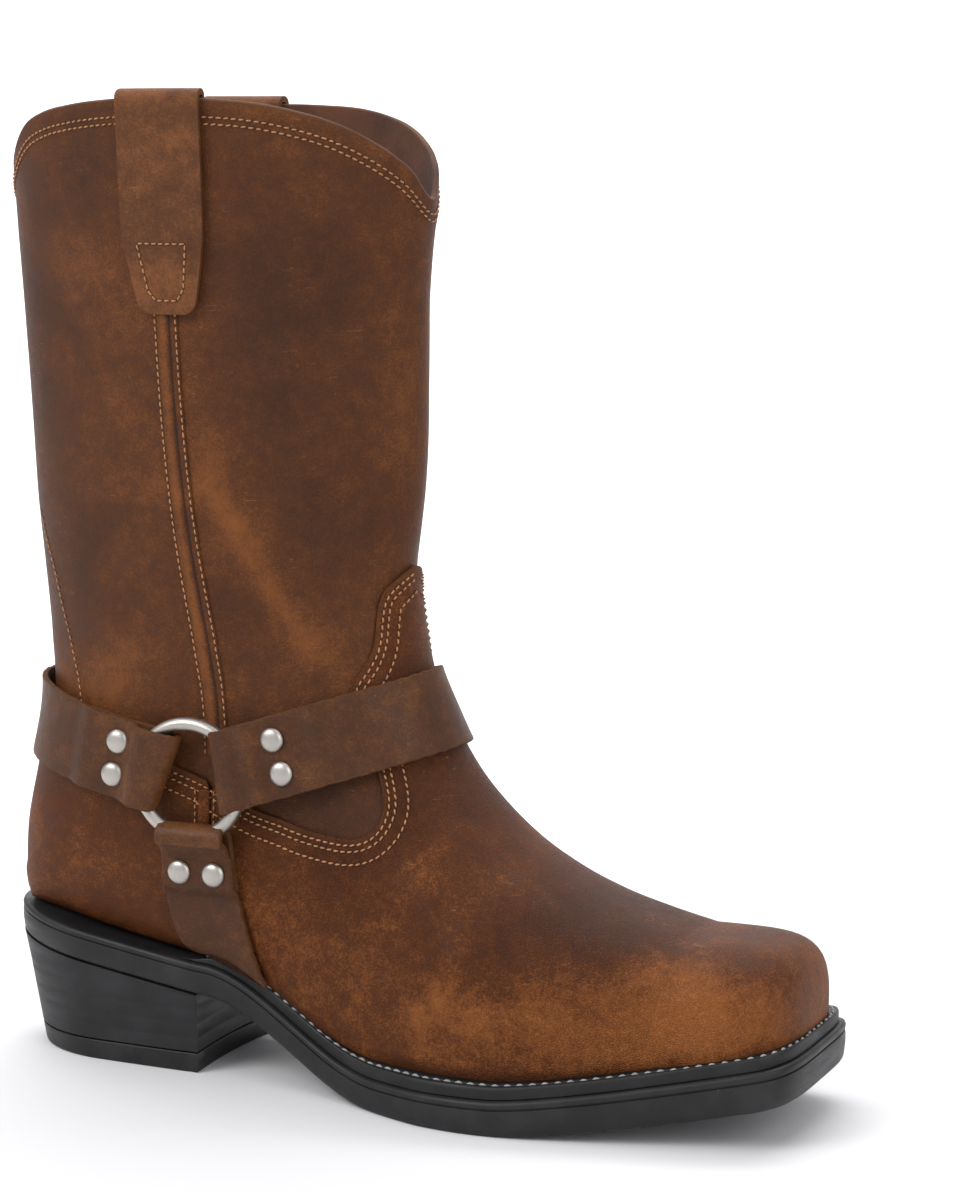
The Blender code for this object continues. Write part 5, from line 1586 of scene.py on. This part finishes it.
# %% Pull straps
PULL_OUTLINE = np.array([
    # depth spread
    (0.000, 1.00), (0.300, 1.00), (0.560, 0.99), (0.640, 0.95), (0.720, 0.84), (0.800, 0.72),
    (0.900, 0.565), (0.950, 0.47), (0.975, 0.37), (0.990, 0.22), (1.000, 0.00),
])
PULL_FIELD = (
    # corners of the stitching, as shares of the width and of the depth
    (-0.300, 0.672), (0.296, 0.672), (0.235, 0.88), (0.150, 0.935), (-0.110, 0.935), (-0.200, 0.89),
    (-0.300, 0.672),
)
PULL_TOP = SHAFT_HEIGHT - PULL_BEND


def pull_strap(word, side):
    shift = MEDIAL_PULL_BACK if side > 0 else 0.0
    x_top = float(along(PULL_ALONG)) - shift
    x_low = float(along(PULL_TIP_ALONG)) - shift
    clear = 2 * GAP
    section, share = strap_section(1.0, PULL_THICKNESS)

    def leg(x, z, lift):
        spot, up = skin.drop(x, min(z, PULL_TOP), side)
        return np.array([spot[0], spot[1], z]) + unit(np.array([up[0], up[1], 0.0])) * lift

    def station(depth, middle, heading):
        """One ring of the strap, facing outwards (heading 1) or into the boot (heading -1)."""
        spread = float(np.interp(depth, PULL_OUTLINE[:, 0], PULL_OUTLINE[:, 1]))
        width = PULL_TIP_WIDTH + (PULL_WIDTH - PULL_TIP_WIDTH) * spread
        x = x_top + (x_low - x_top) * depth
        z = SHAFT_HEIGHT - PULL_LENGTH * depth
        return [leg(x + u * width, z, middle + heading * v) for u, v in section]

    out_mid = clear + PULL_THICKNESS / 2
    in_mid = -(WALL + clear) - PULL_THICKNESS / 2
    outside = np.concatenate([np.linspace(1.0, 0.94, 12), np.linspace(0.93, 0.0, 44)])
    stations = [station(depth, out_mid, 1) for depth in outside]
    centre = (out_mid + in_mid) / 2
    radius = (out_mid - in_mid) / 2
    for turn in np.radians(np.linspace(0, 180, 17)[1:-1]):
        ring = []
        for u, v in section:
            lift = centre + (radius + v) * math.cos(turn)
            rise = (PULL_RISE + PULL_THICKNESS / 2 + v) * math.sin(turn)
            spot = leg(x_top + u * PULL_WIDTH, SHAFT_HEIGHT, lift)
            ring.append(spot + np.array([0.0, 0.0, rise]))
        stations.append(ring)
    stations += [station(depth, in_mid, -1) for depth in np.linspace(0.0, 0.80, 24)]
    points = np.array(stations).reshape(-1, 3)
    faces = tube_faces(len(stations), len(section))
    if side < 0:
        faces = flipped(faces)
    cut = np.tile(share, len(stations))
    cut[:len(section)] = 0.8
    # lighter along the fold over the collar: the pull-up of the bent leather and a painted highlight on its
    # rounded top
    fold = np.exp(-((points[:, 2] - SHAFT_HEIGHT - 0.001) / 0.004) ** 2) * 0.3
    rub = 0.35 * np.exp(-(((points[:, 2] - SHAFT_HEIGHT + 0.066) / 0.010) ** 2))
    name = "pull_strap_" + word
    values = {"edge": cut * 0.7, "light": fold + rub}
    piece(name, points, faces, pull_leather, [name], "shaft_leather", values, sharp=60.0)
    top = skin.raised(clear + PULL_THICKNESS)
    corners = []
    for across, depth in PULL_FIELD:
        x = x_top + (x_low - x_top) * depth + across * PULL_WIDTH
        corners.append((x, SHAFT_HEIGHT - PULL_LENGTH * depth))
    for start, end in zip(corners[:-1], corners[1:]):
        line = [top.drop(start[0] + (end[0] - start[0]) * t, start[1] + (end[1] - start[1]) * t, side)[0]
                for t in np.linspace(0, 1, 8)]
        stitch_row(line, top, width=0.00062, slant=3.0)


for word, side in SIDES:
    pull_strap(word, side)
print("threads so far", threads.copies)

# %% [markdown]
# ## Outsole, heel and welt
# The sole is a slab: one outline, seen from above, at a run of heights. Each height moves the
# outline in or out by a little, which draws the side's profile: a rounded lower edge, a flat side,
# a fine groove and the bead above it that catches the light.

# %% Slabs from a plan and a side profile
def sole_shares(heel_count, middle_count, toe_count, inset=0.0):
    turn = np.linspace(0.02, math.pi / 2, heel_count)
    heel = HEEL_ROUND_END * (1 - np.cos(turn) ** (2 / HEEL_ROUNDNESS))
    turn = np.linspace(0.0, math.pi / 2 - 0.02, toe_count)
    toe = TOE_ROUND_START + (1 - TOE_ROUND_START) * np.sin(turn) ** (2 / TOE_ROUNDNESS)
    middle = np.linspace(HEEL_ROUND_END, TOE_ROUND_START, middle_count)[1:-1]
    edge = inset / LENGTH
    return edge + np.concatenate([heel, middle, toe]) * (1 - 2 * edge)


def plan_outline(shares):
    """The outsole's outline as a closed run of points, lateral side first."""
    lateral, medial = sole_half_widths(shares)
    x = along(shares)
    front = np.linspace(-lateral[-1], medial[-1], 10)[1:-1]
    back = np.linspace(medial[0], -lateral[0], 8)[1:-1]
    xs = np.concatenate([x, np.full(len(front), x[-1]), x[::-1], np.full(len(back), x[0])])
    ys = np.concatenate([-lateral, front, medial[::-1], back])
    return np.stack([xs, ys], axis=-1)


def outward(outline):
    tangent = np.roll(outline, -1, axis=0) - np.roll(outline, 1, axis=0)
    out = np.stack([tangent[:, 1], -tangent[:, 0]], axis=-1)
    return out / (np.linalg.norm(out, axis=1)[:, None] + 1e-12)


def slab(name, outline, out, levels, look, slot, replaces):
    """levels holds (outward move, height function or number) from the bottom up."""
    rings = []
    for move, level in levels:
        ring = outline + out * move
        z = level(ring[:, 0]) if callable(level) else np.full(len(ring), level)
        rings.append(np.column_stack([ring, z]))
    around = len(outline)
    count = len(levels)
    points = np.concatenate(rings)
    faces = []
    for r in range(count - 1):
        for k in range(around):
            n = (k + 1) % around
            faces.append([r * around + k, r * around + n, (r + 1) * around + n, (r + 1) * around + k])
    for r, flip in ((0, True), (count - 1, False)):
        outer = r * around
        for narrow in (0.5, 0.0):
            inner = len(points)
            points = np.concatenate([points, rings[r] * [1.0, narrow, 1.0]])
            for k in range(around):
                n = (k + 1) % around
                quad = [outer + k, outer + n, inner + n, inner + k]
                faces.append(quad[::-1] if flip else quad)
            outer = inner
    return piece(name, points, faces, look, replaces, slot, None, sharp=45.0)


# %% Outsole
outline = plan_outline(sole_shares(26, 120, 26))
out = outward(outline)


def between_levels(share):
    return lambda x: underside(x) + (outsole_top(x) - underside(x)) * share


SIDE_PROFILE = (
    # outward, share of the height
    (-0.0016, 0.00), (-0.0006, 0.02), (-0.0001, 0.08), (0.0002, 0.20), (0.0005, 0.45), (0.0005, 0.66),
    (0.0003, 0.735), (-0.0002, 0.755), (-0.0002, 0.775), (0.0004, 0.80), (0.0005, 0.88), (0.0001, 0.955),
    (-0.0006, 0.99), (-0.0016, 1.00),
)
slab("outsole", outline, out, [(move, between_levels(share)) for move, share in SIDE_PROFILE],
     sole_rubber, "sole_rubber", ["outsole"])

# %% [markdown]
# The heel is glued from layers and sanded flush, so its sides show faint lines where they meet.
# Its back leans in towards the floor, its sides hardly at all, and its front, the breast, is hollow
# from side to side.

# %% Heel stack and cap, from plans that shrink towards the floor
def heel_outline(z):
    clear_top = HEEL_HEIGHT + HEEL_PITCH
    lean = 1 - z / clear_top
    shares = sole_shares(26, 70, 8)
    shares = np.append(shares[shares < HEEL_DEPTH / LENGTH - 0.006], HEEL_DEPTH / LENGTH)
    lateral, medial = sole_half_widths(shares)
    depth = HEEL_DEPTH - HEEL_TAPER * lean
    x = HEEL_DEPTH - (HEEL_DEPTH - shares * LENGTH) / HEEL_DEPTH * depth - ORIGIN_FROM_BACK
    side = 1 - HEEL_SIDE_TAPER * lean / (HEEL_WIDTH / 2)
    breast = np.linspace(-1, 1, 15)[1:-1]
    half = np.where(breast < 0, lateral[-1], medial[-1])
    xs = np.concatenate([x, x[-1] - BREAST_HOLLOW * (1 - breast**2), x[::-1]])
    ys = np.concatenate([-lateral * side, breast * half * side, medial[::-1] * side])
    return np.stack([xs, ys], axis=-1)


def heel_block(name, levels, look, slot):
    """levels holds (inward move, height or None for the outsole's underside)."""
    rings = []
    for move, level in levels:
        plan = heel_outline(level if level is not None else HEEL_HEIGHT + HEEL_PITCH)
        plan = plan - outward(plan) * move
        z = underside(plan[:, 0]) - GAP if level is None else np.full(len(plan), level)
        z = np.minimum(z, underside(plan[:, 0]) - GAP)
        rings.append(np.column_stack([plan, z]))
    faces = capped_faces(len(rings), len(rings[0]))
    return piece(name, np.concatenate(rings), faces, look, [name], slot, None, sharp=38.0)


cap_levels = [
    (0.0008, 0.0), (0.0002, 0.0003), (0.0, 0.0009), (0.0, CAP_THICKNESS - 0.0003),
    (0.0002, CAP_THICKNESS - 0.00005), (0.0006, CAP_THICKNESS),
]
heel_block("heel_cap", cap_levels, sole_rubber, "sole_rubber")
LAYER_PITCH, LAYER_FLAT, LAYER_LINE, LINE_DEPTH = 0.0052, 0.0047, 0.0050, 0.00007
stack_levels = [(0.0005, CAP_THICKNESS + GAP)]
for level in np.arange(CAP_THICKNESS + GAP + 0.0004, HEEL_HEIGHT - 0.001, LAYER_PITCH):
    stack_levels += [(0.0, level), (0.0, level + LAYER_FLAT), (LINE_DEPTH, level + LAYER_LINE)]
stack_levels += [(0.0, None)]
heel_block("heel_stack", stack_levels, heel_black, "heel_stack")

# %% [markdown]
# The welt is a strip that runs from one side of the waist round the toe to the other. The sole is
# sewn on through it, and the row of pale thread lies in a cut channel. Its section has that channel
# and a bevelled outer edge.

# %% Welt
WELT_SECTION = (
    # share from the outer edge to the upper, height share, outward move
    (0.000, 0.00), (0.000, 0.55), (0.015, 0.80), (0.060, 0.95), (0.120, 1.00), (0.240, 1.00),
    (0.290, 0.88), (0.345, 0.80), (0.400, 0.88), (0.450, 1.00), (0.700, 1.02), (0.880, 1.05), (1.000, 1.10),
    (1.000, 0.00),
)
STITCH_SHARE = 0.345
beside = skin.raised(GAP)
edge_share = WELT_INSET / LENGTH
shares = sole_shares(26, 150, 26, WELT_INSET)
shares = np.append(WELT_START, shares[shares > WELT_START + 0.003])
lateral, medial = sole_half_widths((shares - edge_share) / (1 - 2 * edge_share))
x = along(shares)
welt_plan = list(zip(x, WELT_INSET - lateral))
front_ys = np.linspace(welt_plan[-1][1], medial[-1] - WELT_INSET, 16)[1:-1]
welt_plan += [(x[-1], y) for y in front_ys] + list(zip(x[::-1], (medial - WELT_INSET)[::-1]))
points = []
channel = []
for px, py in welt_plan:
    middle = np.array([min(px, float(along(0.88))), 0.0, float(welt_top(px))])
    inner = beside.meet(middle, (px - middle[0], py, 0.0))[0]
    for share, up in WELT_SECTION:
        place = np.array([px, py]) * (1 - share) + inner[:2] * share
        low = float(outsole_top(place[0])) + GAP
        place = np.array([place[0], place[1], low + (float(welt_top(place[0])) - low) * up])
        points.append(place)
        if share == STITCH_SHARE:
            channel.append(place)
faces = tube_faces(len(welt_plan), len(WELT_SECTION))
piece("welt", points, faces, welt_black, ["welt"], "welt_leather", sharp=45.0)
channel = np.array(channel)
welt_form = Form(np.array(points), faces, vertex_normals(np.array(points), faces))
started = channel[(channel[:, 0] > along(WELT_START + 0.02))]
stitch_row(started, welt_form, pitch=0.0043, width=0.00130, sewing=pale_threads, slant=16.0, lift=0.0005,
           holed=False)
print("welt stitches", pale_threads.copies)

# %% [markdown]
# The insole fills the inside of the foot. Nobody can measure it there, so lines are cast from the
# middle to the lining at many places along the foot, and the insole ends just short of them.

# %% Insole
def insole_level(x, share):
    return float(outsole_top(x)) + WALL + 6 * GAP + INSOLE_THICKNESS * share


lining = skin.raised(-(WALL + 4 * GAP))
ends = []
for start, heading in ((0.12, -1), (0.86, 1)):
    start = float(along(start))
    tip = start
    for _ in range(3):
        tips = [lining.meet((start, 0, insole_level(tip, up)), (heading, 0, 0))[0][0] for up in (0.55, 1.0)]
        tip = min(tips) if heading > 0 else max(tips)
    ends.append(tip - heading * 10 * GAP)
points = []
INSOLE_RINGS = 90
INSOLE_SECTION = ((0.0, 0.74), (0.55, 1.0), (0.80, 1.0), (0.96, 0.985), (1.0, 0.95))
for share in 0.5 - 0.5 * np.cos(np.linspace(0.12, math.pi - 0.12, INSOLE_RINGS)):
    x = ends[0] + (ends[1] - ends[0]) * share
    ring = []
    for side, order in ((-1, INSOLE_SECTION), (1, INSOLE_SECTION[::-1])):
        for up, spread in order:
            y = lining.meet((x, 0, insole_level(x, max(up, 0.55))), (0, side, 0))[0][1]
            ring.append((x, y * spread, insole_level(x, up)))
    points += ring
faces = flipped(tube_faces(INSOLE_RINGS, 2 * len(INSOLE_SECTION)))
piece("insole", points, faces, insole_leather, ["insole"], "insole_leather", sharp=40.0)

# %% [markdown]
# ## One mesh for each kind of thread
# All beads of one thread become a single mesh, and so do the needle holes' discs of painted shade.
# Blender handles one object with a hundred thousand faces far better than a thousand objects with a
# hundred each.

# %% Join the sewing into three meshes
for name, sewing, look, slot in (
    ("threads", threads, tan_thread, "shaft_leather"),
    ("welt_threads", pale_threads, pale_thread, "welt_leather"),
    ("needle_holes", hole_shades, painted_hole_shade, "shaft_leather"),
):
    piece(name, np.concatenate(sewing.points), sewing.faces, look, (), slot, None, sharp=0)
    print(name, sewing.copies, "copies,", TRIANGLES[name], "triangles")
print("all pieces", sum(TRIANGLES.values()), "triangles")

# %% [markdown]
# ## Studio and camera
# The picture is a product photograph: a white sweep that is floor and wall in one, large soft
# lights, and a long lens from a little above the boot's outer side. The sweep is a plain strip that
# curves up behind the boot, so that no corner shows.

# %% Sweep
def sweep_mesh():
    profile = [(-8.0, 0.0)]
    profile += [(1.6 + 0.9 * math.sin(t), 0.9 - 0.9 * math.cos(t)) for t in np.linspace(0, math.pi / 2, 16)]
    profile.append((2.5, 3.5))
    points = [(x, y, z) for x in (-8.0, 8.0) for y, z in profile]
    count = len(profile)
    faces = [[k, count + k, count + k + 1, k + 1] for k in range(count - 1)]
    return points, faces


points, faces = sweep_mesh()
mesh = bpy.data.meshes.new("sweep")
mesh.from_pydata(points, [], faces)
mesh.shade_smooth()
floor_look = Shader("floor_white", roughness=0.85)
floor_colour = floor_look.mix(floor_look.noise(3.0), (0.71, 0.705, 0.71), (0.74, 0.735, 0.74))
mesh.materials.append(floor_look.finish(floor_colour))
sweep = bpy.data.objects.new("sweep", mesh)
sweep.rotation_euler = (0.0, 0.0, math.radians(23.04))
bpy.context.scene.collection.objects.link(sweep)
sweep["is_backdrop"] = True

# %% Lights
world = bpy.data.worlds.new("studio")
world.use_nodes = True
world.node_tree.nodes["Background"].inputs["Color"].default_value = (0.93, 0.95, 1.0, 1.0)
world.node_tree.nodes["Background"].inputs["Strength"].default_value = 0.60
bpy.context.scene.world = world
bpy.context.scene.view_settings.view_transform = "Standard"
LIGHTS = (
    # name, place, size, watts, aims at
    ("key", (-0.75, -1.25, 1.25), 1.0, 21.0, (0.08, 0.0, 0.13)),
    ("fill", (1.5, -0.9, 0.9), 1.2, 11.0, (0.14, 0.0, 0.08)),
    ("top", (0.2, 0.3, 1.7), 1.4, 9.0, (0.10, 0.0, 0.10)),
    ("wall", (-0.3, 0.9, 1.9), 2.0, 75.0, (-0.9, 2.6, 0.3)),
)
for name, place, size, watts, aim in LIGHTS:
    lamp = bpy.data.lights.new(name, "AREA")
    lamp.size = size
    lamp.energy = watts
    item = bpy.data.objects.new(name, lamp)
    item.location = place
    item.rotation_mode = "QUATERNION"
    item.rotation_quaternion = (Vector(aim) - Vector(place)).to_track_quat("-Z", "Y")
    bpy.context.scene.collection.objects.link(item)

# %% Camera
CAMERA_PLACE = (0.5546, -0.9951, 0.3134)
YAW, PITCH, ROLL = (math.radians(v) for v in (23.04, 7.53, 0.43))
FOCAL_PIXELS = 3161.0
LONG_SIDE = 1200.0
ahead = Vector((-math.sin(YAW) * math.cos(PITCH), math.cos(YAW) * math.cos(PITCH), -math.sin(PITCH)))
right = Vector((math.cos(YAW), math.sin(YAW), 0.0))
up = right.cross(ahead)
rolled_right = right * math.cos(ROLL) + up * math.sin(ROLL)
rolled_up = up * math.cos(ROLL) - right * math.sin(ROLL)
lens = bpy.data.cameras.new("camera")
lens.sensor_width = 36.0
lens.lens = 36.0 * FOCAL_PIXELS / LONG_SIDE
lens.clip_start = 0.05
camera = bpy.data.objects.new("camera", lens)
columns = Matrix((rolled_right, rolled_up, -ahead)).transposed().to_4x4()
camera.matrix_world = Matrix.Translation(CAMERA_PLACE) @ columns
bpy.context.scene.collection.objects.link(camera)
bpy.context.scene.camera = camera

# %% Print the size of the scene's box
low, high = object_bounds()
print("box", [round(1000 * v, 1) for v in (*low, *high)], "mm")
